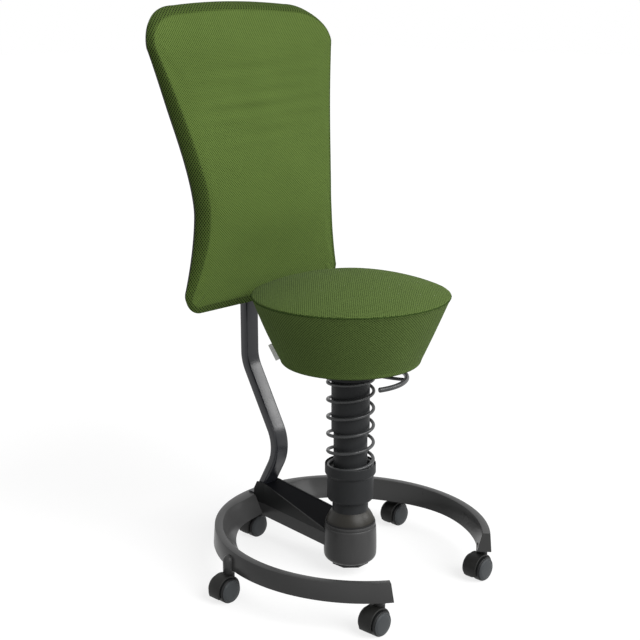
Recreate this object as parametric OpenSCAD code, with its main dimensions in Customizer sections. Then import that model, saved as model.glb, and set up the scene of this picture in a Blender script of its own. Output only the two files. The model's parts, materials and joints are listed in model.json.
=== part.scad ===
// Balance stool with backrest: a C-shaped castor base, a swinging sprung column, a round seat
// and a waisted backrest on an S-bent bar. The column stands on the Z axis of the stool's own
// plan, the stool faces -Y and the floor is z = 0. All sizes are in millimetres.

/* [Base ring] */
// Half width of the ring at its outer edge, across the stool
ring_rx = 272.6; // [265:0.2:285]
// Half length of the ring at its outer edge, front to back
ring_ry = 295; // [288:0.5:305]
// Place of the ring's middle, front to back
ring_y = -2.8; // [-6:0.2:2]
// Height of the ring's top face above the floor
ring_top = 102.5; // [100:0.5:108]
// Height of the ring's underside above the floor
ring_bottom = 64; // [62:0.5:68]
// Width of the ring's top face
ring_top_w = 16; // [14:0.5:20]
// How far the ring's underside reaches inwards, at its front half
ring_foot_w = 26.5; // [25:0.5:30]
// How much further the underside reaches inwards at the rear
ring_rear_extra = 18; // [8:1:22]
// How much wider the ring is at the bar's foot
ring_foot_extra = 14; // [4:1:18]
// Draft of the ring's outer face at its underside
ring_draft = 3; // [0:0.5:5]
// Chamfer along the ring's top edges
ring_chamfer = 1.5; // [0.5:0.5:3]
// Angle from the rear to each front end of the ring, at the underside
ring_end_angle = 146.4; // [143.5:0.2:150]
// How far the top is set back at each end, in degrees
ring_end_setback = 2.4; // [0:0.2:5]

/* [Arm and bracket] */
// Height of the arm's underside
arm_bottom = 60; // [58:0.5:62]
// Height of the seam between the arm and the backrest bracket
arm_top = 88; // [84:0.5:90]
// Sheet thickness of the arm and the bracket
arm_sheet = 3; // [2:0.5:4]
// Half width of the arm at the cup
arm_front_hw = 47; // [42:0.5:49]
// Height of the bracket's top edge where it meets the bar
bracket_rear_top = 135; // [125:1:145]
// Height of the bracket's top edge at the cup
bracket_front_top = 94; // [93:0.5:98]
// Gap between pieces that are welded or stand against each other
seat_gap = 0.2; // [0.1:0.05:0.3]

/* [Swing joint] */
// Height of the point that the column swings about
swing_z = 101; // [100:0.5:104]
// Radius of the swing ball
ball_r = 51.5; // [50:0.25:52]
// Gap between the ball and the cup
ball_gap = 0.3; // [0.2:0.05:0.5]
// Outer radius of the foot cup at its widest
cup_r = 54.4; // [54.2:0.1:58]
// Outer radius of the foot cup at its rim
cup_rim_r = 53; // [52.6:0.1:54]
// Height of the cup's underside
cup_bottom = 28; // [26:0.5:32]
// Height of the cup's rim
cup_rim_z = 110.5; // [109:0.5:113]
// Radius of the cup's rounded lower edge
cup_fillet = 18; // [12:1:22]
// Radius of the rubber core's upper bearing
core_r = 30; // [26:0.5:32]
// Radius of the rubber core's lower bearing
core_seat_r = 50; // [48:0.5:50]
// Width of the adjuster knob across its corners
knob_w = 80; // [70:1:84]
// Height of the adjuster knob
knob_h = 8; // [6:0.5:10]
// Radius of the adjuster's stem
knob_stem_r = 8; // [6:0.5:10]

/* [Column] */
// Outer radius of the neck tube
neck_r = 37; // [35.5:0.5:38]
// Wall of the neck tube
neck_wall = 4; // [3:0.5:4.5]
// Height of the spring cup's underside
collar_bottom = 160; // [156:1:166]
// Radius of the spring cup's body
collar_r = 48; // [46:0.5:49]
// Radius of the spring cup's flange
flange_r = 52.6; // [52.2:0.1:54]
// Height of the flange's underside
flange_bottom = 217; // [212:1:220]
// Height of the flange's lip
flange_top = 238; // [235:1:242]
// Depth of the recess that the spring's end lies in
flange_recess = 10; // [6:1:12]
// Outer radius of the lower tube
lower_tube_r = 34.8; // [33:0.2:36]
// Wall of the lower tube
lower_tube_wall = 2.5; // [2:0.5:3]
// Height of the lower tube's top end
lower_tube_top = 375; // [365:1:376]
// Outer radius of the upper tube
upper_tube_r = 39.3; // [38.7:0.1:40]
// Wall of the upper tube
upper_tube_wall = 2; // [1.5:0.25:2.5]
// Height of the upper tube's lower end
upper_tube_bottom = 310; // [300:1:316]
// Length of each guide bush
bush_length = 20; // [14:1:24]
// Running clearance of every sliding and turning fit, on the radius
running_fit = 0.05; // [0.02:0.01:0.08]

/* [Coil spring] */
// Outer radius of the coil spring
spring_r = 50.3; // [49:0.1:50.6]
// Diameter of the spring's wire
wire_d = 7; // [5:0.5:7]
// Rise of one open turn
spring_pitch = 36.6; // [32:0.2:40]
// Turns lying flat at each end of the spring
flat_turns = 0.75; // [0.5:0.05:1]
// Direction in which the spring starts to rise
spring_start = 171.7; // [0:0.1:360]

/* [Top of the column] */
// Height of the spring plate's underside
plate_bottom = 423; // [421:0.5:425]
// Thickness of the spring plate
plate_t = 5; // [4:0.5:6]
// Radius of the spring plate
plate_r = 49.5; // [48:0.5:51]
// Radius of the gas spring's cylinder
cylinder_r = 25; // [22:0.5:28]
// Height of the cylinder's lower end
cylinder_bottom = 200; // [195:1:230]
// Radius of the gas spring's rod
rod_r = 14; // [12:0.5:15]
// Height of the rod's lower end
rod_bottom = 240; // [235:1:280]
// Radius of the seat hub
hub_r = 47; // [44:0.5:49]
// Gap between the spring plate and the seat hub at the lowest seat
hub_gap = 0.8; // [0.5:0.1:1]
// Radius of the rod's pin in the hub
hub_pin_r = 12; // [10:0.5:13]

/* [Seat] */
// Radius of the seat at its piping
seat_r = 200; // [180:1:210]
// Height of the piping
seat_rim_z = 593.5; // [580:0.5:600]
// Height of the seat's underside
seat_bottom = 455; // [450:0.5:460]
// Radius of the seat's underside
seat_bottom_r = 140.5; // [130:0.5:150]
// Rise of the domed top above the piping
seat_crown = 43; // [30:1:55]
// How far the seat's side bulges out between piping and underside
seat_side_bulge = 2.5; // [0:0.5:6]
// Radius of the seat's rounded lower edge
seat_edge_r = 8; // [4:0.5:10]
// Radius of the piping
piping_r = 2.6; // [2:0.1:3.5]
// Radius of the seat pan
pan_r = 122; // [110:1:124]
// Thickness of the seat pan
pan_t = 12; // [9:0.5:15]
// Length of the blank tag
tag_length = 33; // [20:1:40]
// Width of the blank tag
tag_width = 9; // [6:0.5:12]
// Thickness of the blank tag
tag_t = 1.2; // [0.8:0.1:2]
// Direction of the tag from the middle of the seat
tag_angle = 135.5; // [90:0.5:180]

/* [Release lever] */
// Diameter of the lever's handle
lever_d = 10; // [8:0.5:11]
// Diameter of the rod that carries the handle
lever_rod_d = 7; // [6:0.5:8]
// Radius of the curved handle
handle_bend_r = 73; // [60:1:78]
// Height of the handle's middle
handle_z = 430; // [428:0.5:434]
// Radius of the lever's pin
lever_pin_r = 3; // [2.5:0.25:4]

/* [Backrest bar] */
// Width of the bar
bar_w = 40; // [36:0.5:42]
// Thickness of the bar
bar_t = 20; // [16:0.5:22]
// Radius of the bar's rounded edges
bar_edge_r = 6; // [3:0.5:8]
// Wall of the bar
bar_wall = 2.5; // [2:0.25:3]
// Lean of the bar's two slanted stretches from the vertical
bar_lean = 29; // [25:0.5:32]
// Radius of the lower bend, at the middle of the bar
bend_low_r = 84; // [60:1:100]
// Radius of the upper bend, at the middle of the bar
bend_high_r = 80; // [60:1:100]
// Place of the upright stretch behind the column
bar_y = 294.5; // [288:0.5:300]
// Height where the upright and the upper slanted stretch meet
bar_high_z = 402; // [390:1:415]
// Height where the two slanted stretches meet
bar_low_z = 222; // [212:1:232]
// Height of the bar's top end
bar_top = 645; // [600:1:680]

/* [Backrest] */
// Height of the backrest's lower edge
back_bottom = 545; // [530:1:560]
// Height of the backrest's top edge at its middle
back_top = 1157; // [1100:1:1200]
// Half width of the backrest at its waist
waist_hw = 191.3; // [170:0.1:205]
// Height of the waist
waist_z = 750; // [720:1:790]
// Half width of the backrest at its top corners, before rounding
top_hw = 260.5; // [235:0.5:270]
// Half width of the backrest at its lower corners, before rounding
bottom_hw = 236; // [205:1:245]
// Radius of the top corners
top_corner_r = 66; // [40:1:80]
// Length of the top corners along the edge, for each millimetre of that radius
top_corner_long = 1.5; // [1:0.05:1.8]
// Radius of the lower corners
bottom_corner_r = 42; // [20:1:50]
// Rise of the top edge from its corners to its middle
top_arch = 19; // [5:1:25]
// Place of the front face at the lumbar bulge
lumbar_y = 215.7; // [214:0.1:222]
// Height of the lumbar bulge
lumbar_z = 740; // [700:1:780]
// Slope of the reclined upper stretch
recline = 0.255; // [0.15:0.005:0.3]
// Slope of the lower stretch, which runs back from the bulge
lower_sweep = 0.22; // [0.1:0.01:0.26]
// How far the top edge rolls back beyond that slope
top_curl = 26; // [0:1:30]
// Height from which it rolls back
curl_z = 1070; // [1050:1:1090]
// Thickness of the pad up to the shoulders
pad_t = 37.5; // [30:0.5:42]
// Thickness of the pad at its top edge
pad_top_t = 24; // [18:1:30]
// Thickness of the shell behind the pad
shell_t = 6; // [4:0.5:8]
// How far the shell's edge lies inside the pad's edge
shell_inset = 4; // [3:0.5:12]

/* [Castors] */
// Place of the two side castors round the ring, from its rear
castor_side_angle = 72.2; // [68:0.2:76]
// Place of the two castors at the ring's ends, from its rear
castor_end_angle = 140.8; // [138:0.2:142]
// How far inside the ring's outer edge the rear castor stands
castor_rear_in = 13.2; // [12:0.2:16]
// How far outside the ring's outer edge the side castors stand
castor_side_out = 3; // [0:0.2:4]
// How far inside the ring's outer edge the end castors stand
castor_end_in = 15; // [13:0.2:16]
// Radius of a wheel
wheel_r = 25; // [24:0.5:25.5]
// Width of a wheel
wheel_w = 16.5; // [13:0.5:18]
// Distance of the wheels' axle behind the stem
castor_trail = 14; // [13:0.5:20]
// Radius of the stem
stem_r = 5.5; // [4.5:0.25:5.5]
// Height of the face on which the ring rests on a castor
castor_h = 56; // [55.5:0.25:57]
// Length of the stem above that face
stem_length = 22; // [18:1:24]
// Radius of the boss round the stem
boss_r = 11; // [10:0.5:12]
// Radius of the wheels' axle
axle_r = 3; // [2.5:0.25:4]
// Thickness of the web between the two wheels
web_t = 9; // [8:0.5:9.5]

/* [Hidden] */
$fn = 64;

castors = [1, 2, 3, 4, 5];
// Castor 1 is at the rear, and the others follow towards +X
castor_turns = [0, castor_side_angle, castor_end_angle, -castor_end_angle, -castor_side_angle];
castor_insets = [castor_rear_in, -castor_side_out, castor_end_in, castor_end_in, -castor_side_out];
function castor_at(k) = ring_point(castor_turns[k - 1], castor_insets[k - 1], 0);
function is_end_castor(k) = k == 3 || k == 4;

// Ring: an ellipse measured from the rear, with offsets counted inwards from its outer edge
ring_sections = 84;
ring_rear_start = -0.3;
ring_rear_full = 0.55;
function ring_normal(t) = [sin(t) / ring_rx, cos(t) / ring_ry] / norm([sin(t) / ring_rx, cos(t) / ring_ry]);
function ring_point(t, inward, z) = [ring_rx * sin(t) - inward * ring_normal(t)[0],
    ring_y + ring_ry * cos(t) - inward * ring_normal(t)[1], z];
function clamp01(v) = min(1, max(0, v));
function smooth(v) = clamp01(v) * clamp01(v) * (3 - 2 * clamp01(v));
function ring_widening(t) = ring_foot_extra * smooth((32 - abs(t)) / 20);
function ring_foot(t) = ring_foot_w
    + ring_rear_extra * smooth((cos(t) - ring_rear_start) / (ring_rear_full - ring_rear_start))
    + ring_widening(t) * 0.6;
function top_turn(t) = t * (1 - ring_end_setback / ring_end_angle);
function ring_section(t) = [
    ring_point(t, -ring_draft, ring_bottom),
    ring_point(top_turn(t), 0, ring_top - ring_chamfer),
    ring_point(top_turn(t), ring_chamfer, ring_top),
    ring_point(top_turn(t), ring_top_w + ring_widening(t) - ring_chamfer, ring_top),
    ring_point(top_turn(t), ring_top_w + ring_widening(t), ring_top - ring_chamfer),
    ring_point(t, ring_foot(t), ring_bottom)];

// Faces of a closed skin over n rows of m points, with a middle point at each end
function skin_sides(n, m) = [for (i = [0:n - 2], j = [0:m - 1], s = [0, 1])
    let (a = i * m + j, b = i * m + (j + 1) % m, c = a + m, d = b + m) s == 0 ? [a, b, d] : [a, d, c]];
function skin_ends(n, m) = [for (j = [0:m - 1], s = [0, 1]) let (k = (j + 1) % m, e = (n - 1) * m)
    s == 0 ? [n * m, k, j] : [n * m + 1, e + j, e + k]];
function middle(row) = row * [for (p = row) 1 / len(row)];

module skin(rows, turned = false) {
    n = len(rows);
    m = len(rows[0]);
    middles = [for (r = [rows[0], rows[n - 1]]) [for (k = [0:2]) middle([for (p = r) p[k]])]];
    faces = concat(skin_sides(n, m), skin_ends(n, m));
    polyhedron(points = concat([for (r = rows, p = r) p], middles),
        faces = turned ? [for (f = faces) [f[2], f[1], f[0]]] : faces);
}

// Where the arm and the bracket end, along the ring's sloped inner face
ring_rear_y = ring_y + ring_ry;
arm_end_gap = 3.8;
arm_end_low_y = ring_rear_y - ring_foot(0) - arm_end_gap;
arm_end_high_y = ring_rear_y - ring_top_w - ring_foot_extra - 1.5;
function arm_end_y(z) = arm_end_low_y
    + (arm_end_high_y - arm_end_low_y) * (z - arm_bottom) / (ring_top - arm_bottom);

// Backrest bar: its middle line in the plane x = 0
bar_run = tan(bar_lean);
bar_low_y = bar_y - (bar_high_z - bar_low_z) * bar_run;
function bar_mid_y(z) = bar_low_y + (bar_low_z - z) * bar_run;
bar_front_off = bar_t / 2 / cos(bar_lean);
bar_foot_t = 3;
bar_foot_z = ring_top + seat_gap + bar_foot_t;
bar_foot_front_y = ring_rear_y - 44.2;
bar_foot_rear_y = ring_rear_y - 9.2;
bar_screw_x = 11;
bar_screw_y = ring_rear_y - 34.7;
bar_screw_r = 3;
bar_screw_top = 112;
screw_head_r = 5.5;
screw_head_h = 6;

// Arm and bracket in plan: narrow at the bar, wide at the cup
arm_rear_hw = bar_w / 2 + seat_gap + arm_sheet;
arm_rear_y = bar_mid_y(bracket_rear_top) - bar_front_off;
arm_front_y = 25;
function arm_hw(y) = arm_rear_hw + (arm_front_hw - arm_rear_hw)
    * max(0, arm_rear_y - y) / (arm_rear_y - arm_front_y);

// Swing joint
ball_flat = swing_z - 14;
core_flat = swing_z - 28;
cup_core_z = swing_z - 28.5;
knob_top = cup_bottom - seat_gap;
cup_floor = swing_z - core_seat_r - ball_gap;

// Column
neck_foot_z = swing_z + 11;
neck_top = collar_bottom + 8;
upper_bore_r = upper_tube_r - upper_tube_wall;
spring_mean_r = spring_r - wire_d / 2;
spring_low_z = flange_top - flange_recess + wire_d / 2 + seat_gap;
spring_high_z = plate_bottom - wire_d / 2 - seat_gap;
plate_top = plate_bottom + plate_t;
hub_bottom = plate_top + hub_gap;
hub_top = seat_bottom - seat_gap;
hub_pin_top = hub_top - 5;

// Lever
lever_root_y = -34;
lever_root_z = 441;
handle_mid = [-2, -61];
handle_from = -130;
handle_to = -5;
lever_root_hw = 8;
rod_start = [0, lever_root_y - 4, lever_root_z - 2];
rod_end = [handle_mid[0] + handle_bend_r * cos(-62), handle_mid[1] + handle_bend_r * sin(-62), handle_z];

// Castors
wheel_gap = 0.5;
wheel_in = web_t / 2 + wheel_gap;
wheel_out = wheel_in + wheel_w;
hood_gap = 1;
hood_t = 3.5;
hood_hw = 11;
boss_side_top = 80;
boss_end_top = 66;
stem_neck_r = 9;
castor_neck_h = castor_h - seat_gap - 2 * wheel_r - hood_gap;

// Backrest
mount_low_z = 572;
mount_high_z = 648;
mount_hw = 46;
mount_grip = 8;
mount_screw_x = 36;
mount_screw_z = [586, 634];
mount_screw_r = 2.5;
bar_bolt_z = [590, 628];
bar_bolt_r = 4;
bolt_head_r = 6.5;
bolt_head_h = 5;
lumbar_soft = 91;
shoulder_z = 920;
thin_z = 1120;
pad_crown = 3;
pad_edge_step = 8;
soft_gap = 0.3;

function back_half(z) = waist_hw + (z > waist_z
    ? (top_hw - waist_hw) * pow((z - waist_z) / (back_top - top_corner_r - waist_z), 1.45)
    : (bottom_hw - waist_hw) * pow((waist_z - z) / (waist_z - back_bottom), 1.7));
function back_bend(z) = sqrt(pow(z - lumbar_z, 2) + pow(lumbar_soft, 2)) - lumbar_soft;
function back_front(z) = lumbar_y + (z > lumbar_z ? recline : lower_sweep) * back_bend(z)
    + top_curl * pow(max(0, z - curl_z) / (back_top - curl_z), 2);
function back_rear(z) = z > lumbar_z
    ? back_front(z) + pad_t - (pad_t - pad_top_t) * smooth((z - shoulder_z) / (thin_z - shoulder_z))
    : lumbar_y + pad_t;
function back_depth(z) = back_rear(z) - back_front(z);

// The frame's origin is under the middle of the whole stool, so the column stands beside it
left_reach = -castor_at(5)[0] + castor_trail + wheel_r;
right_reach = ring_rx + ring_draft;
column_x = (left_reach - right_reach) / 2;
front_reach = ring_ry * abs(cos(ring_end_angle)) - ring_y + ring_draft;
rear_reach = back_rear(back_top - shell_inset);
column_y = (front_reach - rear_reach) / 2;

// Half outline of the backrest as [half width, height], upwards from the end of its lower edge
side_steps = 20;
corner_steps = 7;
arch_steps = 4;
function arch_z(x) = back_top - top_arch * pow(x / top_hw, 2);
function back_side(inset) = let (
        low_z = back_bottom + bottom_corner_r,
        high_z = back_top - top_arch - top_corner_r,
        low_x = back_half(low_z) - bottom_corner_r,
        corner_w = top_corner_r * top_corner_long,
        high_x = back_half(high_z) - corner_w)
    concat(
    [for (i = [0:corner_steps - 1]) let (a = -90 + 90 * i / corner_steps, r = bottom_corner_r - inset)
        [low_x + r * cos(a), low_z + r * sin(a)]],
    [for (i = [0:side_steps]) let (z = low_z + (high_z - low_z) * i / side_steps)
        [back_half(z) - inset, z]],
    [for (i = [1:corner_steps]) let (a = 90 * i / corner_steps)
        [high_x + (corner_w - inset) * cos(a), high_z + (arch_z(high_x) - inset - high_z) * sin(a)]],
    [for (i = [1:arch_steps]) let (x = high_x * (1 - i / (arch_steps + 0.5)))
        [x, arch_z(x) - inset]]);

// How far the front face is set back at a height, as a share of the pad's depth
top_roll = 19;
low_roll = 14;
function rounding(u) = 1 - sqrt(1 - pow(clamp01(u), 2));
function back_set(z) = 0.7 * max(rounding((z - back_top + top_roll) / top_roll),
    rounding((back_bottom + low_roll - z) / low_roll));

// A level row round the pad: its face with a slight crown, its rounded edge and its flat rear
face_shares = [0, 0.4, 0.75, 0.93];
function pad_row(hw, z) = let (
        depth = back_depth(z),
        front = back_front(z),
        rear = depth - shell_t - soft_gap,
        set = min(back_set(z) * depth, rear - 2),
        half = concat(
            [for (u = face_shares) [u * (hw - pad_edge_step),
                set - (depth > 2 * set ? pad_crown * (1 - u * u) : 0)]],
            [[hw - pad_edge_step, set + 0.5], [hw - 0.35 * pad_edge_step, max(set + 0.8, 0.22 * rear)],
                [hw, max(set + 1.1, 0.6 * rear)], [hw - 1.5, max(set + 1.5, 0.9 * rear)],
                [hw - 6, rear], [hw * 0.5, rear], [0, rear]]))
    concat([for (p = half) [p[0], front + p[1], z]],
        [for (i = [len(half) - 2:-1:1]) [-half[i][0], front + half[i][1], z]]);

module place(k) {
    translate(castor_at(k)) children();
}

// Base

module base_ring() {
    color("#444444") difference() {
        union() {
            skin([for (i = [0:ring_sections])
                ring_section(ring_end_angle * (2 * i / ring_sections - 1))], true);
            ring_lug();
            for (k = castors) {
                place(k) castor_boss(k);
            }
        }
        for (k = castors) {
            place(k) translate([0, 0, castor_h - 1])
                cylinder(h = stem_length + 1.5, r = stem_r + running_fit);
        }
        for (x = [-bar_screw_x, bar_screw_x]) {
            translate([x, bar_screw_y, arm_bottom])
                cylinder(h = ring_top, r = bar_screw_r + seat_gap);
            translate([x, bar_screw_y, arm_bottom])
                cylinder(h = ring_bottom - arm_bottom + screw_head_h + 1, r = screw_head_r + seat_gap);
        }
    }
}

// Block of the ring between the arm's two sides, under the bar's foot
module ring_lug() {
    translate([-bar_w / 2, arm_end_low_y + 6, ring_bottom + 0.5])
        cube([bar_w, bar_foot_rear_y - arm_end_low_y - 6, ring_top - ring_bottom - 1]);
}

module castor_boss(k) {
    top = is_end_castor(k) ? boss_end_top : boss_side_top;
    translate([0, 0, castor_h]) rotate_extrude() polygon(concat([[0, 0], [boss_r, 0]],
        [for (a = [0:15:90]) [boss_r * cos(a), top - castor_h + boss_r * sin(a)]]));
}

// Plan of the arm, drawn in by the sheet where asked
module arm_plan(inset) {
    rear_y = bar_foot_rear_y;
    polygon([[arm_rear_hw - inset, rear_y], [arm_rear_hw - inset, arm_rear_y],
        [arm_front_hw - inset, arm_front_y], [-arm_front_hw + inset, arm_front_y],
        [-arm_rear_hw + inset, arm_rear_y], [-arm_rear_hw + inset, rear_y]]);
}

module side_view(points) {
    translate([-ring_rx, 0, 0]) rotate([90, 0, 90]) linear_extrude(2 * ring_rx) polygon(points);
}

module base_arm() {
    color("#3c3c3c") difference() {
        intersection() {
            translate([0, 0, arm_bottom]) linear_extrude(arm_top - arm_bottom) arm_plan(0);
            side_view([[0, arm_bottom], [arm_end_low_y, arm_bottom], [arm_end_y(arm_top), arm_top],
                [0, arm_top]]);
        }
        translate([0, 0, arm_bottom + arm_sheet]) linear_extrude(arm_top) arm_plan(arm_sheet);
        translate([0, 0, cup_bottom]) cylinder(h = bracket_rear_top, r = cup_r + seat_gap);
    }
}

// Two cheeks on the arm, with the bar's foot between them
module back_bracket() {
    low = arm_top + seat_gap;
    corner_z = ring_top + 15;
    color("#3a3a3a") difference() {
        intersection() {
            translate([0, 0, low]) linear_extrude(bracket_rear_top - low) arm_plan(0);
            side_view([[0, low], [arm_end_y(low), low], [arm_end_high_y, ring_top + seat_gap],
                [bar_mid_y(corner_z) + bar_front_off, ring_top + seat_gap],
                [bar_mid_y(corner_z) + bar_front_off, corner_z],
                [bar_mid_y(bracket_rear_top) + bar_front_off, bracket_rear_top],
                [arm_rear_y, bracket_rear_top], [arm_front_y, bracket_front_top], [0, bracket_front_top]]);
        }
        translate([0, 0, low - 1]) linear_extrude(bracket_rear_top) arm_plan(arm_sheet);
        translate([0, 0, cup_bottom]) cylinder(h = bracket_rear_top, r = cup_r + seat_gap);
    }
}

// Dark sheet that closes the bracket, flush with the cheeks' top edges
module bracket_top_plate() {
    color("#14181c") difference() {
        intersection() {
            translate([0, 0, arm_top]) linear_extrude(bracket_rear_top) arm_plan(arm_sheet + seat_gap);
            side_view([[arm_front_y, bracket_front_top - arm_sheet - 1],
                [arm_front_y, bracket_front_top - 1],
                [arm_rear_y - 1, bracket_rear_top - 1],
                [arm_rear_y - 1, bracket_rear_top - arm_sheet - 1]]);
        }
        translate([0, 0, cup_bottom]) cylinder(h = bracket_rear_top, r = cup_r + seat_gap);
    }
}

module foot_cup() {
    bowl = swing_z - cup_core_z;
    color("#3e3e3e") difference() {
        rotate_extrude() polygon(concat([[0, cup_bottom]],
            [for (a = [-90:15:0]) [cup_r - cup_fillet + cup_fillet * cos(a),
                cup_bottom + cup_fillet + cup_fillet * sin(a)]],
            [[cup_rim_r + 0.6, cup_rim_z - 7], [cup_rim_r, cup_rim_z - 6], [cup_rim_r - 0.4, cup_rim_z],
                [0, cup_rim_z]]));
        translate([0, 0, swing_z]) cylinder(h = 50, r = ball_r + ball_gap);
        intersection() {
            translate([0, 0, swing_z]) sphere(r = ball_r + ball_gap);
            translate([0, 0, swing_z - bowl / 2 + 1])
                cube([3 * ball_r, 3 * ball_r, bowl + 2], center = true);
        }
        translate([0, 0, swing_z]) sphere(r = core_seat_r + ball_gap);
        translate([0, 0, cup_bottom - 1]) cylinder(h = cup_floor, r = knob_stem_r + running_fit);
    }
}

module adjuster_knob() {
    color("#3a3a3a") {
        translate([0, 0, knob_top - knob_h]) rotate(22.5) cylinder(h = knob_h, r = knob_w / 2, $fn = 8);
        translate([0, 0, knob_top - 1]) cylinder(h = cup_floor - knob_top - 1, r = knob_stem_r);
    }
}

module rubber_core() {
    color("#222222") union() {
        intersection() {
            translate([0, 0, swing_z]) sphere(r = core_seat_r);
            translate([0, 0, core_flat - core_seat_r / 2])
                cube([3 * core_seat_r, 3 * core_seat_r, core_seat_r], center = true);
        }
        intersection() {
            translate([0, 0, swing_z]) sphere(r = core_r);
            translate([0, 0, core_flat - 1]) cylinder(h = swing_z + 9 - core_flat, r = core_r + 1);
        }
    }
}

module swing_ball() {
    color("#3c3a34") difference() {
        intersection() {
            translate([0, 0, swing_z]) sphere(r = ball_r);
            translate([0, 0, ball_flat]) cylinder(h = 2 * ball_r, r = ball_r + 1);
        }
        translate([0, 0, swing_z]) sphere(r = core_r + ball_gap);
        translate([0, 0, neck_foot_z]) cylinder(h = 2 * ball_r, r = neck_r + running_fit);
    }
}

// Column

module tube(low, high, outer, inner) {
    translate([0, 0, low]) difference() {
        cylinder(h = high - low, r = outer);
        translate([0, 0, -1]) cylinder(h = high - low + 2, r = inner);
    }
}

module neck_tube() {
    color("#2b2b2a") tube(neck_foot_z, neck_top, neck_r, neck_r - neck_wall);
}

module spring_cup() {
    lower_edge = 6;
    lip_t = 1.8;
    recess_z = flange_top - flange_recess;
    color("#2f2f2f") rotate_extrude() polygon(concat(
        [[neck_r + running_fit, collar_bottom]],
        [for (a = [-90:18:0]) [collar_r - lower_edge + lower_edge * cos(a),
            collar_bottom + lower_edge + lower_edge * sin(a)]],
        [[collar_r, flange_bottom - 4], [flange_r - 1, flange_bottom], [flange_r, flange_bottom + 2],
            [flange_r, flange_top - 1], [flange_r - 0.8, flange_top], [flange_r - lip_t, flange_top],
            [flange_r - lip_t, recess_z], [lower_tube_r + running_fit, recess_z],
            [lower_tube_r + running_fit, neck_top], [neck_r + running_fit, neck_top]]));
}

module lower_tube() {
    color("#282828") tube(neck_top, lower_tube_top, lower_tube_r, lower_tube_r - lower_tube_wall);
}

module upper_bush() {
    color("#1c1c1c") tube(lower_tube_top - bush_length, lower_tube_top,
        upper_bore_r - running_fit, lower_tube_r + running_fit);
}

module upper_tube() {
    color("#262626") tube(upper_tube_bottom, plate_bottom, upper_tube_r, upper_bore_r);
}

module lower_bush() {
    color("#1c1c1c") tube(upper_tube_bottom + 2, upper_tube_bottom + 2 + bush_length,
        upper_bore_r - running_fit, lower_tube_r + running_fit);
}

// Coil spring: one tube along a helix that eases into a flat turn at each end
open_turns = (spring_high_z - spring_low_z) / spring_pitch;
all_turns = open_turns + 2 * flat_turns;
rings_per_turn = 24;
wire_sides = 6;
ease_turns = 0.3;
function soft_ramp(t) = t < -ease_turns ? 0
    : t < ease_turns ? pow(t + ease_turns, 2) / (4 * ease_turns)
    : t;
function spring_z(t) = let (u = t - flat_turns, v = open_turns - u)
    u < open_turns / 2
        ? spring_low_z + spring_pitch * soft_ramp(u)
        : spring_high_z - spring_pitch * soft_ramp(v);
function spring_mid(t) = let (a = spring_start + 360 * (t - flat_turns))
    [spring_mean_r * cos(a), spring_mean_r * sin(a), spring_z(t)];
spring_rings = round(all_turns * rings_per_turn);
spring_path = concat(
    [spring_mid(0) - wire_d * spring_way(0)],
    [for (i = [0:spring_rings]) spring_mid(all_turns * i / spring_rings)],
    [spring_mid(all_turns) + wire_d * spring_way(all_turns)]);
function spring_way(t) = let (a = spring_start + 360 * (t - flat_turns)) [-sin(a), cos(a), 0];
function unit(v) = v / norm(v);
function path_way(path, i) = unit(path[min(i + 1, len(path) - 1)] - path[max(i - 1, 0)]);
function wire_ring(path, i) = let (w = path_way(path, i),
        out = unit([path[i][0], path[i][1], 0] - w * ([path[i][0], path[i][1], 0] * w)),
        up = cross(w, out))
    [for (j = [0:wire_sides - 1]) let (a = 360 * j / wire_sides)
        path[i] + wire_d / 2 * (cos(a) * out + sin(a) * up)];
// Least gap of the spring to itself, between middle lines at least half a turn apart
spring_least_gap = min([for (i = [0:3:spring_rings], j = [i + rings_per_turn / 2:1:spring_rings])
    norm(spring_path[i + 1] - spring_path[j + 1])]) - wire_d;
echo(spring_least_gap = spring_least_gap);

module coil_spring() {
    color("#3a3a3a") skin([for (i = [0:len(spring_path) - 1]) wire_ring(spring_path, i)], true);
}

module spring_plate() {
    color("#262626") tube(plate_bottom, plate_top, plate_r, cylinder_r + running_fit);
}

module gas_cylinder() {
    color("#303030") difference() {
        translate([0, 0, cylinder_bottom]) cylinder(h = plate_top - cylinder_bottom, r = cylinder_r);
        translate([0, 0, cylinder_bottom + 6]) cylinder(h = plate_top, r = rod_r + running_fit);
    }
}

module gas_rod() {
    color("#8a8a8a") {
        translate([0, 0, rod_bottom]) cylinder(h = hub_bottom - rod_bottom - running_fit, r = rod_r);
        translate([0, 0, rod_bottom + 1]) cylinder(h = hub_pin_top - rod_bottom - 1.5, r = hub_pin_r);
    }
}

// Seat

module seat_hub() {
    color("#242424") difference() {
        translate([0, 0, hub_bottom]) cylinder(h = hub_top - hub_bottom, r = hub_r);
        translate([0, 0, hub_bottom - 1])
            cylinder(h = hub_pin_top - hub_bottom + 1, r = hub_pin_r + running_fit);
        translate([-lever_root_hw - 1, -hub_r - 1, hub_bottom + 3])
            cube([2 * lever_root_hw + 2, hub_r + lever_root_y + 8, hub_top - hub_bottom - 6]);
        translate([-lever_root_hw - 9, lever_root_y, lever_root_z]) rotate([0, 90, 0])
            cylinder(h = 2 * lever_root_hw + 18, r = lever_pin_r + running_fit);
    }
}

module lever_pin() {
    color("#8a8a8a") translate([-lever_root_hw - 8, lever_root_y, lever_root_z]) rotate([0, 90, 0])
        cylinder(h = 2 * lever_root_hw + 16, r = lever_pin_r);
}

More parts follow.
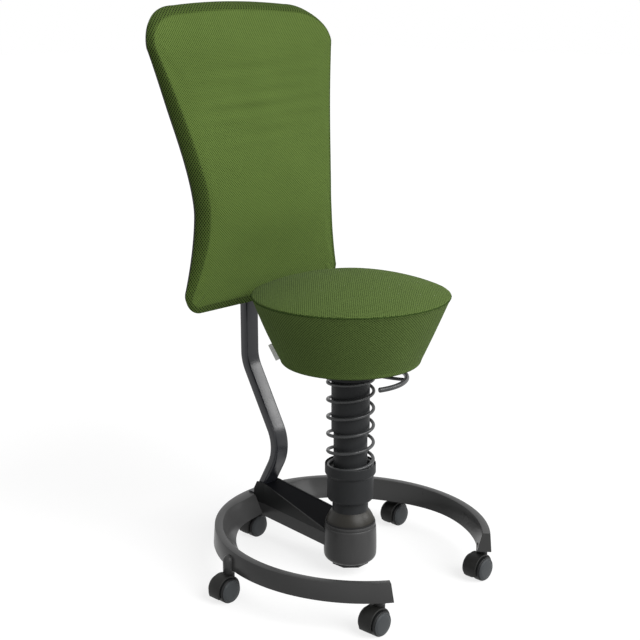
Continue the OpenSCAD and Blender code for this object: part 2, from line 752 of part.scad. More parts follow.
module release_lever() {
    color("#4a4a4a") difference() {
        union() {
            translate([-lever_root_hw, lever_root_y, lever_root_z]) rotate([0, 90, 0])
                cylinder(h = 2 * lever_root_hw, r = 5.5);
            rod_between(rod_start, rod_end, lever_rod_d);
            translate([handle_mid[0], handle_mid[1], handle_z]) rotate(handle_from)
                rotate_extrude(angle = handle_to - handle_from)
                translate([handle_bend_r, 0]) circle(r = lever_d / 2, $fn = 32);
        }
        translate([-lever_root_hw - 1, lever_root_y, lever_root_z]) rotate([0, 90, 0])
            cylinder(h = 2 * lever_root_hw + 2, r = lever_pin_r + running_fit);
    }
}

module rod_between(from, to, d) {
    way = to - from;
    translate(from) rotate([0, acos(way[2] / norm(way)), atan2(way[1], way[0])])
        cylinder(h = norm(way), d = d);
}

module seat_pan() {
    color("#2a2a2a") difference() {
        translate([0, 0, seat_bottom]) cylinder(h = pan_t, r = pan_r);
        for (a = [45:90:315]) {
            rotate(a) translate([pan_screw_circle, 0, seat_bottom - 1])
                cylinder(h = pan_t + 2, r = pan_screw_r + seat_gap);
        }
    }
}
pan_screw_circle = 34;
pan_screw_r = 3;

module pan_screws() {
    color("#9a9a9a") for (a = [45:90:315]) {
        rotate(a) translate([pan_screw_circle, 0, hub_top + seat_gap]) {
            cylinder(h = pan_t - 0.5, r = pan_screw_r);
            translate([0, 0, pan_t]) cylinder(h = 3, r = 5.5);
            cylinder(h = pan_t + 0.5, r = pan_screw_r);
        }
    }
}

// Half outline of the cushion: rounded lower edge, bulged side, piping edge, crown
crown_r = (pow(seat_r - 4, 2) + pow(seat_crown - 3, 2)) / (2 * (seat_crown - 3));
seat_peak = seat_rim_z + seat_crown;
side_top_z = seat_rim_z - 3;
crown_steps = 12;
seat_side_steps = 8;
function seat_side_r(z) = let (s = (z - seat_bottom) / (side_top_z - seat_bottom))
    seat_bottom_r + (seat_r - 3 - seat_bottom_r) * s + seat_side_bulge * sin(180 * s);
seat_edge_z = seat_bottom + seat_edge_r;
seat_profile = concat(
    [[0, seat_bottom]],
    [for (a = [-90:22.5:-22.5]) [seat_side_r(seat_edge_z) - seat_edge_r * (1 - cos(a)),
        seat_edge_z + seat_edge_r * sin(a)]],
    [for (i = [0:seat_side_steps]) let (z = seat_edge_z + (side_top_z - seat_edge_z) * i / seat_side_steps)
        [seat_side_r(z), z]],
    [for (i = [0:crown_steps]) let (r = (seat_r - 4) * (1 - i / crown_steps))
        [r, seat_peak - crown_r + sqrt(crown_r * crown_r - r * r)]]);

module seat_cushion() {
    color("#566f38") difference() {
        rotate_extrude($fn = 96) polygon(seat_profile);
        translate([0, 0, seat_bottom - 1]) cylinder(h = pan_t + 1 + soft_gap, r = pan_r + soft_gap);
        for (a = [45:90:315]) {
            rotate(a) translate([pan_screw_circle, 0, seat_bottom]) cylinder(h = pan_t + 4, r = 6);
        }
        translate([0, 0, seat_rim_z]) rotate_extrude($fn = 96)
            translate([seat_r - piping_r, 0]) circle(r = piping_r + soft_gap, $fn = 24);
    }
}

module seat_piping() {
    color("#2e4a1c") translate([0, 0, seat_rim_z]) rotate_extrude($fn = 96)
        translate([seat_r - piping_r, 0]) circle(r = piping_r, $fn = 24);
}

// Blank tag standing out of the seat's side, its inner edge along the slope
module seat_tag() {
    low_z = seat_edge_z + 1;
    high_z = low_z + tag_length * 0.9;
    lean = atan2(seat_side_r(high_z) - seat_side_r(low_z), high_z - low_z);
    color("#e8e8e8") rotate(tag_angle) translate([seat_side_r(low_z) + soft_gap, tag_t / 2, low_z])
        rotate([90, 0, 0]) linear_extrude(tag_t) rotate(90 - lean) translate([0, -tag_width])
        square([tag_length, tag_width]);
}

// Backrest bar

module bar_profile(inset) {
    w = bar_w / 2 - inset;
    t = bar_t / 2 - inset;
    r = bar_edge_r - inset;
    square([2 * w, 2 * (t - r)], center = true);
    square([2 * (w - r), 2 * t], center = true);
    for (x = [-1, 1], y = [-1, 1]) {
        translate([x * (w - r), y * (t - r)]) circle(r = r, $fn = 24);
    }
}

// Middle line of the bar as [y, z, lean] from its foot to its top
bar_edge_steps = 3;
function bar_path() = let (
        low_start = bar_low_z - bend_low_r * tan(bar_lean) * cos(bar_lean),
        high_end = bar_high_z + bend_high_r * tan(bar_lean / 2))
    concat([[bar_mid_y(bar_foot_z), bar_foot_z, -bar_lean]],
        [for (i = [0:8]) let (a = bar_lean * (i / 4 - 1))
            [bar_mid_y(low_start) + bend_low_r * (cos(bar_lean) - cos(a)),
                low_start + bend_low_r * (sin(bar_lean) + sin(a)), a]],
        [for (i = [0:5]) let (a = bar_lean * (1 - i / 5))
            [bar_y - bend_high_r * (1 - cos(a)), high_end - bend_high_r * sin(a), a]],
        [[bar_y, bar_top, 0]]);
// Rounded outline of the bar across its width and thickness
function bar_outline(inset) = [for (q = [0:3], i = [0:bar_edge_steps])
    let (a = 90 * q + 90 * i / bar_edge_steps, r = bar_edge_r - inset,
        sx = q == 0 || q == 3 ? 1 : -1, sy = q < 2 ? 1 : -1)
    [sx * (bar_w / 2 - bar_edge_r) + r * cos(a), sy * (bar_t / 2 - bar_edge_r) + r * sin(a)]];
function bar_row(at, outline) = [for (p = outline)
    [p[0], at[0] + p[1] * cos(at[2]), at[1] - p[1] * sin(at[2])]];
// The first row lies level, cut along the bar's own direction
function bar_level_row(at, outline) = [for (p = bar_row(at, outline))
    [p[0], p[1] + (at[1] - p[2]) * tan(at[2]), at[1]]];

module bar_skin(inset, over) {
    path = bar_path();
    last = path[len(path) - 1];
    foot = [path[0][0] + over * bar_run, path[0][1] - over, path[0][2]];
    skin(concat([bar_level_row(foot, bar_outline(inset))],
        [for (i = [1:len(path) - 2]) bar_row(path[i], bar_outline(inset))],
        [bar_row([last[0], last[1] + over, last[2]], bar_outline(inset))]), true);
}

module backrest_bar() {
    color("#4c4f51") difference() {
        bar_skin(0, 0);
        bar_skin(bar_wall, 2);
        for (z = bar_bolt_z) {
            translate([0, bar_y + bar_t, z]) rotate([90, 0, 0])
                cylinder(h = 2 * bar_t, r = bar_bolt_r + running_fit);
        }
    }
}

// Foot plate welded to the bar, with two threaded bosses inside it
module bar_foot() {
    color("#6e6e6e") difference() {
        union() {
            translate([-bar_w / 2, bar_foot_front_y, ring_top + seat_gap])
                cube([bar_w, bar_foot_rear_y - bar_foot_front_y, bar_foot_t]);
            for (x = [-bar_screw_x, bar_screw_x]) {
                translate([x, bar_screw_y, bar_foot_z - 1])
                    cylinder(h = bar_screw_top - bar_foot_z + 2, r = bar_screw_r + 2.5);
            }
        }
        for (x = [-bar_screw_x, bar_screw_x]) {
            translate([x, bar_screw_y, ring_top])
                cylinder(h = bar_screw_top, r = bar_screw_r + running_fit);
        }
    }
}

module bar_screws() {
    color("#9a9a9a") for (x = [-bar_screw_x, bar_screw_x]) {
        translate([x, bar_screw_y, ring_bottom + 1]) {
            cylinder(h = screw_head_h, r = screw_head_r);
            cylinder(h = bar_screw_top - ring_bottom - 1, r = bar_screw_r);
        }
    }
}

module bar_end_cap() {
    color("#1c1c1c") {
        translate([0, bar_y, bar_top - 13]) linear_extrude(14) bar_profile(bar_wall + seat_gap);
        translate([0, bar_y, bar_top + running_fit]) linear_extrude(3) bar_profile(0);
    }
}

// Backrest

// Moulded mount: its front lies on the shell, its rear grips the bar
module backrest_mount() {
    bar_front = bar_y - bar_t / 2 - seat_gap;
    color("#202020") difference() {
        translate([-mount_hw, 0, 0]) rotate([90, 0, 90]) linear_extrude(2 * mount_hw)
            polygon(concat([for (z = [mount_low_z:19:mount_high_z]) [back_rear(z) + 2 * seat_gap, z]],
                [[bar_front - 6, mount_high_z], [bar_front + mount_grip, mount_high_z - 8],
                    [bar_front + mount_grip, mount_low_z + 8], [bar_front - 6, mount_low_z]]));
        translate([-bar_w / 2 - seat_gap, bar_front, mount_low_z - 1])
            cube([bar_w + 2 * seat_gap, 2 * bar_w, mount_high_z]);
        for (x = [-1, 1], z = mount_screw_z) {
            translate([x * mount_screw_x, bar_front + 40, z]) rotate([90, 0, 0])
                cylinder(h = 90, r = mount_screw_r + running_fit);
            translate([x * mount_screw_x, bar_front + 40, z]) rotate([90, 0, 0])
                cylinder(h = 42, r = 5.5);
        }
        for (z = bar_bolt_z) {
            translate([0, bar_front + 1, z]) rotate([90, 0, 0])
                cylinder(h = 14, r = bar_bolt_r + running_fit);
        }
    }
}

module mount_screws() {
    bar_front = bar_y - bar_t / 2 - seat_gap;
    color("#9a9a9a") for (x = [-1, 1], z = mount_screw_z) {
        translate([x * mount_screw_x, bar_front - 1.8, z]) rotate([-90, 0, 0]) cylinder(h = 3, r = 5);
        translate([x * mount_screw_x, bar_front - 1, z]) rotate([90, 0, 0])
            cylinder(h = bar_front - 1 - back_rear(z) + shell_t - 2, r = mount_screw_r);
    }
}

module bar_bolts() {
    bar_rear = bar_y + bar_t / 2;
    color("#9a9a9a") for (z = bar_bolt_z) {
        translate([0, bar_rear + 0.1, z]) rotate([-90, 0, 0])
            cylinder(h = bolt_head_h - 0.1, r = bolt_head_r);
        translate([0, bar_rear + 1, z]) rotate([90, 0, 0]) cylinder(h = bar_t + 12, r = bar_bolt_r);
    }
}

// Level row round the shell, with a bevel along its rear edge
function shell_row(hw, z) = let (front = back_rear(z) - shell_t)
    [[-hw, front, z], [-hw, front + shell_t * 0.6, z], [-hw + 3, front + shell_t, z],
        [hw - 3, front + shell_t, z], [hw, front + shell_t * 0.6, z], [hw, front, z]];

module back_shell() {
    color("#262626") difference() {
        skin([for (p = back_side(shell_inset)) shell_row(p[0], p[1])]);
        for (x = [-1, 1], z = mount_screw_z) {
            translate([x * mount_screw_x, back_rear(z) + 5, z]) rotate([90, 0, 0])
                cylinder(h = 5 + shell_t - 1.5, r = mount_screw_r + running_fit);
        }
    }
}

module back_pad() {
    color("#5d7a3a") skin([for (p = back_side(0)) pad_row(p[0], p[1])], true);
}

// Castors: each is drawn with its stem at the origin and its wheels trailing towards -X

module castor_hood() {
    color("#2a2a2a") difference() {
        union() {
            translate([0, 0, 2 * wheel_r + hood_gap]) cylinder(h = castor_neck_h, r = stem_neck_r);
            translate([0, 0, castor_h - 2]) cylinder(h = stem_length + 1.5, r = stem_r);
            hood_shell();
            intersection() {
                translate([-castor_trail, web_t / 2, wheel_r]) rotate([90, 0, 0])
                    cylinder(h = web_t, r = wheel_r - 2);
                translate([-castor_trail - wheel_r, -web_t, 0]) cube([2 * wheel_r, 2 * web_t, 2 * wheel_r]);
            }
            translate([-castor_trail, -web_t / 2, wheel_r])
                cube([castor_trail + 6, web_t, castor_h - wheel_r - 3]);
        }
        translate([-castor_trail, web_t, wheel_r]) rotate([90, 0, 0])
            cylinder(h = 2 * web_t, r = axle_r);
    }
}

// Curved guard over the front upper quarter of the wheels
module hood_shell() {
    in_r = wheel_r + hood_gap;
    intersection() {
        translate([-castor_trail, hood_hw, wheel_r]) rotate([90, 0, 0]) difference() {
            cylinder(h = 2 * hood_hw, r = in_r + hood_t);
            translate([0, 0, -1]) cylinder(h = 2 * hood_hw + 2, r = in_r);
        }
        translate([-castor_trail + 6, -hood_hw - 1, wheel_r + 4]) cube([2 * in_r, 2 * hood_hw + 2, 2 * in_r]);
    }
}

module castor_axle() {
    color("#8a8a8a") translate([-castor_trail, wheel_out - 1, wheel_r]) rotate([90, 0, 0])
        cylinder(h = 2 * wheel_out - 2, r = axle_r - 0.005);
}

// A wheel with its bore, rounded tread and raised face, on the side of -Y
module wheel() {
    tread = 3;
    cap_r = wheel_r - 5;
    color("#1c1c1c") translate([-castor_trail, -wheel_in, wheel_r]) rotate([90, 0, 0])
        rotate_extrude() polygon(concat(
            [[axle_r + running_fit, 0], [wheel_r - 1.5, 0], [wheel_r - 0.4, 0.4], [wheel_r, 1.5]],
            [for (a = [0:22.5:90]) [wheel_r - tread + tread * cos(a), wheel_w - tread + tread * sin(a) - 1]],
            [[cap_r + 1, wheel_w - 1], [cap_r + 0.6, wheel_w - 1.8], [cap_r, wheel_w - 1.8],
                [cap_r - 1.4, wheel_w - 0.2], [cap_r - 2.2, wheel_w], [axle_r + running_fit, wheel_w]]));
}

stand() base_ring();
stand() base_arm();
stand() back_bracket();
stand() bracket_top_plate();
stand() foot_cup();
stand() adjuster_knob();
stand() rubber_core();
stand() swing_ball();
stand() neck_tube();
stand() spring_cup();
stand() lower_tube();
stand() upper_bush();
stand() coil_spring();
stand() upper_tube();
stand() lower_bush();
stand() spring_plate();
stand() gas_cylinder();
stand() gas_rod();
stand() seat_hub();
stand() lever_pin();
stand() release_lever();
stand() seat_pan();
stand() pan_screws();
stand() seat_cushion();
stand() seat_piping();
stand() seat_tag();
stand() backrest_bar();
stand() bar_foot();
stand() bar_screws();
stand() bar_end_cap();
stand() backrest_mount();
stand() mount_screws();
stand() bar_bolts();
stand() back_shell();
stand() back_pad();
for (k = castors) {
    stand() place(k) castor_hood();
    stand() place(k) castor_axle();
    stand() place(k) wheel();
    stand() place(k) mirror([0, 1, 0]) wheel();
}

// The whole stool, set so that the origin is under the middle of its box
module stand() {
    translate([column_x, column_y, 0]) children();
}
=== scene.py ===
"""Looks of the balance stool with backrest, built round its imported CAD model.

The stool stands on the floor z = 0 and faces -Y. Lengths in the classes are in metres, in the
row frame, and heights are above the floor. Every sub-assembly works its surfaces out as whole
arrays, puts them on the body that carries them and dresses them.
"""

import json
import logging
from dataclasses import dataclass
from enum import Enum

import bpy
import numpy as np
from mathutils import Matrix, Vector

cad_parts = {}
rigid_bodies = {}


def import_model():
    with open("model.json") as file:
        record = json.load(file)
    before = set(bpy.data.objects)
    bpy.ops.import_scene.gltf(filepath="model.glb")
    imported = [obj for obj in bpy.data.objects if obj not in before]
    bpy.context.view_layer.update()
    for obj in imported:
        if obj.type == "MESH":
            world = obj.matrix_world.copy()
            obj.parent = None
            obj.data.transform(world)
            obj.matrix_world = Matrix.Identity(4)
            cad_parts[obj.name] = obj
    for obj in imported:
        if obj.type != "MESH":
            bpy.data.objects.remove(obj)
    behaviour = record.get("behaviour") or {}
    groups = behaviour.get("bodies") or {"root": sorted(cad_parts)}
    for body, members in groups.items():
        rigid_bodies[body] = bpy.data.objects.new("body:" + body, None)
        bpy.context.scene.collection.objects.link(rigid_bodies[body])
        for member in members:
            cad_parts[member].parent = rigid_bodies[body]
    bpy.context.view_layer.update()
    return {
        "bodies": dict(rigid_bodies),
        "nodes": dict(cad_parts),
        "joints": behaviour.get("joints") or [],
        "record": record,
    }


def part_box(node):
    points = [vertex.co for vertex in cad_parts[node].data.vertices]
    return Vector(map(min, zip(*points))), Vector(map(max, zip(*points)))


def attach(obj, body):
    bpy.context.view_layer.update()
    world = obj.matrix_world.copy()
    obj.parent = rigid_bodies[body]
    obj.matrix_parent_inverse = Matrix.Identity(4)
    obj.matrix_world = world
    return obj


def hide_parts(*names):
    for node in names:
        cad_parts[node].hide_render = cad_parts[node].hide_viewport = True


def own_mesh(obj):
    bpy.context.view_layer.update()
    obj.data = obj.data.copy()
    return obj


LOG = logging.getLogger("stool")
TURN = 2 * np.pi
X_AXIS, Y_AXIS, Z_AXIS = np.eye(3)

# Points, and the blocks of faces over them. A block's faces all have one number of corners.
Skin = tuple[np.ndarray, list[np.ndarray]]


# Colours and nodes


def linear(code: str) -> tuple[float, float, float, float]:
    """Turns an sRGB hex colour into the linear colour that the shaders take.

    Args:
        code: Six hex digits.

    Returns:
        Red, green, blue and an alpha of 1.
    """
    values = [int(code[i : i + 2], 16) / 255 for i in (0, 2, 4)]
    parts = [v / 12.92 if v <= 0.04045 else ((v + 0.055) / 1.055) ** 2.4 for v in values]
    return (parts[0], parts[1], parts[2], 1.0)


def add_node(
    tree: bpy.types.NodeTree, kind: str, sockets: dict | None = None, **settings: object
) -> bpy.types.Node:
    """Adds a shader node with its settings, socket values and links.

    Args:
        tree: The material's or world's node tree.
        kind: The node's type name.
        sockets: Input name or number to a value, or to another node's output.
        **settings: Attributes of the node itself.

    Returns:
        The new node.
    """
    node = tree.nodes.new(kind)
    for key, value in settings.items():
        setattr(node, key, value)
    for key, value in (sockets or {}).items():
        socket = node.inputs[key]
        if isinstance(value, bpy.types.NodeSocket):
            tree.links.new(value, socket)
        else:
            socket.default_value = value
    return node


def new_material(name: str) -> tuple[bpy.types.Material, bpy.types.NodeTree]:
    """Makes an empty node material.

    Args:
        name: Name of the material.

    Returns:
        The material and its node tree.
    """
    material = bpy.data.materials.new(name)
    material.use_nodes = True
    material.node_tree.nodes.clear()
    return material, material.node_tree


# Curves and meshes


def coords(*values: np.ndarray | float) -> np.ndarray:
    """Points from their coordinates, each an array or one number for all."""
    return np.stack(np.broadcast_arrays(*values), axis=-1)


def unit(vectors: np.ndarray) -> np.ndarray:
    """Vectors divided by their lengths."""
    return vectors / np.linalg.norm(vectors, axis=-1, keepdims=True)


def circle(steps: int, radius: float = 1.0) -> np.ndarray:
    """Pairs round a circle: radius times the cosine and sine of equal turns."""
    turn = np.arange(steps) * TURN / steps
    return radius * coords(np.cos(turn), np.sin(turn))


def waves(turn: np.ndarray, parts: tuple[tuple[float, float, float], ...]) -> np.ndarray:
    """Sum of height * sin(count * turn + start) over parts of (height, count, start)."""
    return sum(height * np.sin(count * turn + start) for height, count, start in parts)


def smooth_step(values: np.ndarray) -> np.ndarray:
    """Smooth 0 to 1 step: 3v^2 - 2v^3 of values held between 0 and 1."""
    held = np.clip(values, 0, 1)
    return held * held * (3 - 2 * held)


def band_profile(inner: float, outer: float, low: float, high: float) -> np.ndarray:
    """Rectangle of (radius, place) pairs between two radii and two places on the axis."""
    return np.array([[inner, low], [outer, low], [outer, high], [inner, high]])


def rounded_rectangle(width: float, depth: float, radius: float, steps: int) -> np.ndarray:
    """Outline of a rounded rectangle: a quarter circle round the middle of each corner.

    Args:
        width: Its first size.
        depth: Its second size.
        radius: Radius of its corners.
        steps: Points round each corner.

    Returns:
        The outline's points as pairs.
    """
    turn = np.linspace(0, TURN / 4, steps)
    corners = np.array([[1, 1], [-1, 1], [-1, -1], [1, -1]])
    angles = turn[None, :] + (np.arange(4) * TURN / 4)[:, None]
    centres = corners * np.array([width / 2 - radius, depth / 2 - radius])
    return (centres[:, None, :] + coords(np.cos(angles), np.sin(angles)) * radius).reshape(-1, 2)


def grid_quads(rows: int, columns: int, closed: bool) -> np.ndarray:
    """Faces of a grid of points, row after row.

    Args:
        rows: Number of rows.
        columns: Points in a row.
        closed: Whether the last point of a row joins its first.

    Returns:
        Point numbers of each face, four to a face.
    """
    row = np.arange(rows - 1)[:, None] * columns
    column = np.arange(columns if closed else columns - 1)[None, :]
    following = (column + 1) % columns
    corners = [row + column, row + following, row + columns + following, row + columns + column]
    return np.stack(corners, axis=-1).reshape(-1, 4)


def fan(start: int, count: int, middle: int) -> np.ndarray:
    """Triangles from a closed row of points to one middle point."""
    ring = np.arange(count)
    return coords(start + ring, start + (ring + 1) % count, middle)


def volume(points: np.ndarray, faces: list[np.ndarray]) -> float:
    """Signed volume: the sum of a . (b x c) / 6 over the faces cut into triangles.

    Args:
        points: Points, one a line.
        faces: Blocks of faces.

    Returns:
        The volume, below 0 where the faces look inwards.
    """
    total = 0.0
    for block in faces:
        for k in range(1, block.shape[1] - 1):
            a, b, c = points[block[:, 0]], points[block[:, k]], points[block[:, k + 1]]
            total += float(np.einsum("ij,ij->i", a, np.cross(b, c)).sum())
    return total / 6


def put_object(name: str, data: bpy.types.ID) -> bpy.types.Object:
    """Links a mesh, lamp or camera into the scene.

    Args:
        name: Name of the object.
        data: What it holds.

    Returns:
        The new object, at the origin.
    """
    made = bpy.data.objects.new(name, data)
    bpy.context.scene.collection.objects.link(made)
    return made


def make_piece(
    name: str,
    points: np.ndarray,
    faces: list[np.ndarray],
    cloth: list[np.ndarray] | None = None,
    sharp: float | None = None,
) -> bpy.types.Object:
    """Makes a mesh object at the origin, with its faces turned outwards.

    Args:
        name: Name of the piece.
        points: Points, one a line.
        faces: Blocks of faces.
        cloth: Flat cloth place of every face corner, a block for each block of faces.
        sharp: Angle in radians above which an edge stays sharp, or None for all smooth.

    Returns:
        The new object.
    """
    if volume(points, faces) < 0:
        faces = [block[:, ::-1] for block in faces]
        cloth = [block[:, ::-1] for block in cloth] if cloth else None
    mesh = bpy.data.meshes.new(name)
    mesh.from_pydata(points.tolist(), [], [face for block in faces for face in block.tolist()])
    mesh.polygons.foreach_set("use_smooth", np.ones(len(mesh.polygons), bool))
    if cloth:
        layer = mesh.uv_layers.new(name="cloth")
        layer.data.foreach_set("uv", np.concatenate([block.reshape(-1) for block in cloth]))
    if sharp is not None:
        mesh.set_sharp_from_angle(angle=sharp)
    mesh.update()
    return put_object(name, mesh)


def skin(rows: np.ndarray) -> Skin:
    """Closed skin over rows of points, with a middle point at each end.

    Args:
        rows: Points as rows x columns x 3.

    Returns:
        Points and blocks of faces.
    """
    count, columns = rows.shape[:2]
    middles = rows[[0, -1]].mean(axis=1)
    points = np.concatenate([rows.reshape(-1, 3), middles])
    last = (count - 1) * columns
    ends = [fan(0, columns, count * columns)[:, ::-1], fan(last, columns, count * columns + 1)]
    return points, [grid_quads(count, columns, True), *ends]


def sweep(path: np.ndarray, across: np.ndarray, up: np.ndarray, outline: np.ndarray) -> np.ndarray:
    """Carries an outline along a path: point = path + u * across + v * up.

    Args:
        path: Points of the path.
        across: Unit vectors at the path's points, for the outline's first number.
        up: Unit vectors at the path's points, for its second number.
        outline: The outline's points as pairs.

    Returns:
        Points as path points x outline points x 3.
    """
    first = outline[None, :, 0, None] * across[:, None, :]
    second = outline[None, :, 1, None] * up[:, None, :]
    return path[:, None, :] + first + second


def revolve(profile: np.ndarray, middle: np.ndarray, along: np.ndarray, steps: int) -> np.ndarray:
    """Turns a profile of (radius, place) pairs round an axis.

    Args:
        profile: The pairs.
        middle: A point on the axis, at place 0.
        along: Unit vector of the axis.
        steps: Points round the axis.

    Returns:
        Points as profile points x steps x 3.
    """
    first = unit(np.cross(along, Z_AXIS if abs(along[2]) < 0.9 else X_AXIS))
    ring = circle(steps)
    out = ring[:, :1] * first + ring[:, 1:] * np.cross(along, first)
    return middle + profile[:, None, 1, None] * along + profile[:, None, 0, None] * out[None]


def turned_ring(profile: np.ndarray, middle: np.ndarray, along: np.ndarray, steps: int) -> Skin:
    """Closed ring turned from a closed profile, whose last row joins its first.

    Args:
        profile: Pairs of (radius, place) round the profile.
        middle: A point on the axis, at place 0.
        along: Unit vector of the axis.
        steps: Points round the axis.

    Returns:
        Points and blocks of faces.
    """
    rows = revolve(profile, middle, along, steps)
    quads = grid_quads(len(profile) + 1, steps, True) % (len(profile) * steps)
    return rows.reshape(-1, 3), [quads]


def tube(path: np.ndarray, radius: float, steps: int, rounding: float = 0.35, rounds: int = 4) -> Skin:
    """Round rod along a path, its ends rounded: the end rows shrink as the cosine of a quarter turn.

    Args:
        path: Points of its middle line, nowhere upright.
        radius: Radius of the rod.
        steps: Points round the rod.
        rounding: Share of the radius that the rounding takes.
        rounds: Rows of points in each rounding.

    Returns:
        Points and blocks of faces.
    """
    way = unit(np.gradient(path, axis=0))
    turn = np.linspace(0, TURN / 4, rounds + 1)[1:]
    soft = rounding * radius
    before = path[0] - way[0] * soft * np.sin(turn[::-1])[:, None]
    after = path[-1] + way[-1] * soft * np.sin(turn)[:, None]
    line = np.concatenate([before, path, after])
    way = np.concatenate([np.repeat(way[:1], rounds, axis=0), way, np.repeat(way[-1:], rounds, axis=0)])
    across = unit(np.cross(way, Z_AXIS))
    narrow = radius - soft * (1 - np.cos(turn))
    reach = np.concatenate([narrow[::-1], np.full(len(path), radius), narrow])[:, None, None]
    rows = sweep(np.zeros_like(line), across, np.cross(across, way), circle(steps))
    return skin(rows * reach + line[:, None, :])


def joined(*parts: Skin) -> Skin:
    """Several closed skins as one set of points and faces, each turned outwards.

    Args:
        *parts: The skins.

    Returns:
        Points and blocks of faces.
    """
    points, faces, start = [], [], 0
    for spots, blocks in parts:
        if volume(spots, blocks) < 0:
            blocks = [block[:, ::-1] for block in blocks]
        points.append(spots)
        faces += [block + start for block in blocks]
        start += len(spots)
    return np.concatenate(points), faces


def settle(
    piece: bpy.types.Object, body: str, slot: str, material: bpy.types.Material, *nodes: str
) -> bpy.types.Object:
    """Dresses a piece and puts it on its body.

    Args:
        piece: The piece.
        body: Body that carries it.
        slot: The record's material slot. Not used.
        material: What it is dressed with.
        *nodes: CAD nodes that it stands for.

    Returns:
        The piece.
    """
    piece.data.materials.clear()
    piece.data.materials.append(material)
    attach(piece, body)
    if nodes:
        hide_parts(*nodes)
    LOG.info("%s on %s, %d faces", piece.name, body, len(piece.data.polygons))
    return piece


@dataclass(frozen=True)
class FoamSwell:
    """Cloth simulation that swells a padded cover as foam does.

    Attributes:
        pressure: Pressure inside the cover.
        quality: Steps of the solver in a frame.
        mass: Mass of the cloth's points.
        stretch: Stiffness against stretching and squeezing.
        shear: Stiffness against shearing.
        bending: Stiffness against bending.
        frames: Length of the simulation.
    """

    pressure: float = 4.0
    quality: int = 6
    mass: float = 0.3
    stretch: float = 20.0
    shear: float = 10.0
    bending: float = 0.5
    frames: int = 20

    def run(self, piece: bpy.types.Object, free: np.ndarray, most: float) -> None:
        """Swells a cover and writes the result into its mesh.

        New place = old place + free * move * min(1, most / length of the move), so no point
        moves further than most.

        Args:
            piece: The cover, a closed skin.
            free: How far each point may follow the cloth, from 0 to 1. Points at 0 are pinned.
            most: Longest move in metres.
        """
        scene = bpy.context.scene
        start = np.empty(len(free) * 3, np.float32)
        piece.data.vertices.foreach_get("co", start)
        held = piece.vertex_groups.new(name="held")
        held.add(np.flatnonzero(free <= 0).tolist(), 1.0, "REPLACE")
        cloth = piece.modifiers.new("cover", "CLOTH")
        settings = cloth.settings
        settings.quality = self.quality
        settings.mass = self.mass
        settings.tension_stiffness = settings.compression_stiffness = self.stretch
        settings.shear_stiffness = self.shear
        settings.bending_stiffness = self.bending
        settings.use_pressure = True
        settings.uniform_pressure_force = self.pressure
        settings.vertex_group_mass = held.name
        settings.effector_weights.gravity = 0
        cloth.point_cache.frame_start, cloth.point_cache.frame_end = 1, self.frames
        for frame in range(1, self.frames + 1):
            scene.frame_set(frame)
        swollen = piece.evaluated_get(bpy.context.evaluated_depsgraph_get())
        end = np.empty_like(start)
        swollen.data.vertices.foreach_get("co", end)
        move = (end - start).reshape(-1, 3).astype(float)
        length = np.linalg.norm(move, axis=1)
        share = free * np.minimum(1, most / np.maximum(length, 1e-9))
        piece.modifiers.remove(cloth)
        piece.vertex_groups.remove(held)
        scene.frame_set(1)
        places = start.reshape(-1, 3) + share[:, None] * move
        piece.data.vertices.foreach_set("co", places.reshape(-1).astype(np.float32))
        piece.data.update()
        LOG.info("%s swelled by up to %.1f mm", piece.name, 1000 * float((share * length).max()))


# Finishes


@dataclass(frozen=True)
class SatinSkin:
    """Skin of a coated or moulded part: clouded colour and roughness over a fine relief.

    Attributes:
        name: Name of the material.
        colour: Hex colour of the skin.
        roughness: Its mean roughness.
        gloss: Its specular level: 0.5 is that of plain plastic.
        ior: Its index of refraction.
        relief_mm: Distance between the relief's bumps.
        relief_strength: How strongly the relief turns the light, from 0 to 1.
        relief_height: Height of the bumps in metres.
        cloud_mm: Size of the clouds, which are as wide as patches of handling and wear.
        cloud_detail: How finely the clouds break up.
        spread: How far the clouds move the roughness.
        tones: The darkest and the lightest share of the colour.
    """

    name: str
    colour: str
    roughness: float = 0.42
    gloss: float = 0.3
    ior: float = 1.5
    relief_mm: float = 1.4
    relief_strength: float = 0.12
    relief_height: float = 0.0003
    cloud_mm: float = 71.43
    cloud_detail: float = 4.0
    spread: float = 0.07
    tones: tuple[float, float] = (0.9, 1.1)

    def relief(self, tree: bpy.types.NodeTree, place: bpy.types.NodeSocket) -> bpy.types.NodeSocket:
        """Height of the relief at a place, which each kind of skin gives."""
        raise NotImplementedError

    def build(self) -> bpy.types.Material:
        """Makes the material on Object coordinates.

        Returns:
            The material.
        """
        material, tree = new_material(self.name)
        place = add_node(tree, "ShaderNodeTexCoord").outputs["Object"]
        noise = {"Vector": place, "Scale": 1000 / self.cloud_mm, "Detail": self.cloud_detail}
        cloud = add_node(tree, "ShaderNodeTexNoise", noise).outputs["Fac"]
        low, high = self.roughness - self.spread, self.roughness + self.spread
        rough = add_node(tree, "ShaderNodeMapRange", {"Value": cloud, "To Min": low, "To Max": high})
        base = linear(self.colour)[:3]
        dark, light = (tuple(part * tone for part in base) + (1.0,) for tone in self.tones)
        tone = add_node(tree, "ShaderNodeMix", {"Factor": cloud, "A": dark, "B": light}, data_type="RGBA")
        height = {"Height": self.relief(tree, place), "Strength": self.relief_strength}
        bump = add_node(tree, "ShaderNodeBump", {**height, "Distance": self.relief_height})
        shader = add_node(
            tree,
            "ShaderNodeBsdfPrincipled",
            {
                "Base Color": tone.outputs["Result"],
                "Roughness": rough.outputs["Result"],
                "IOR": self.ior,
                "Specular IOR Level": self.gloss,
                "Normal": bump.outputs["Normal"],
            },
        )
        add_node(tree, "ShaderNodeOutputMaterial", {"Surface": shader.outputs["BSDF"]})
        return material


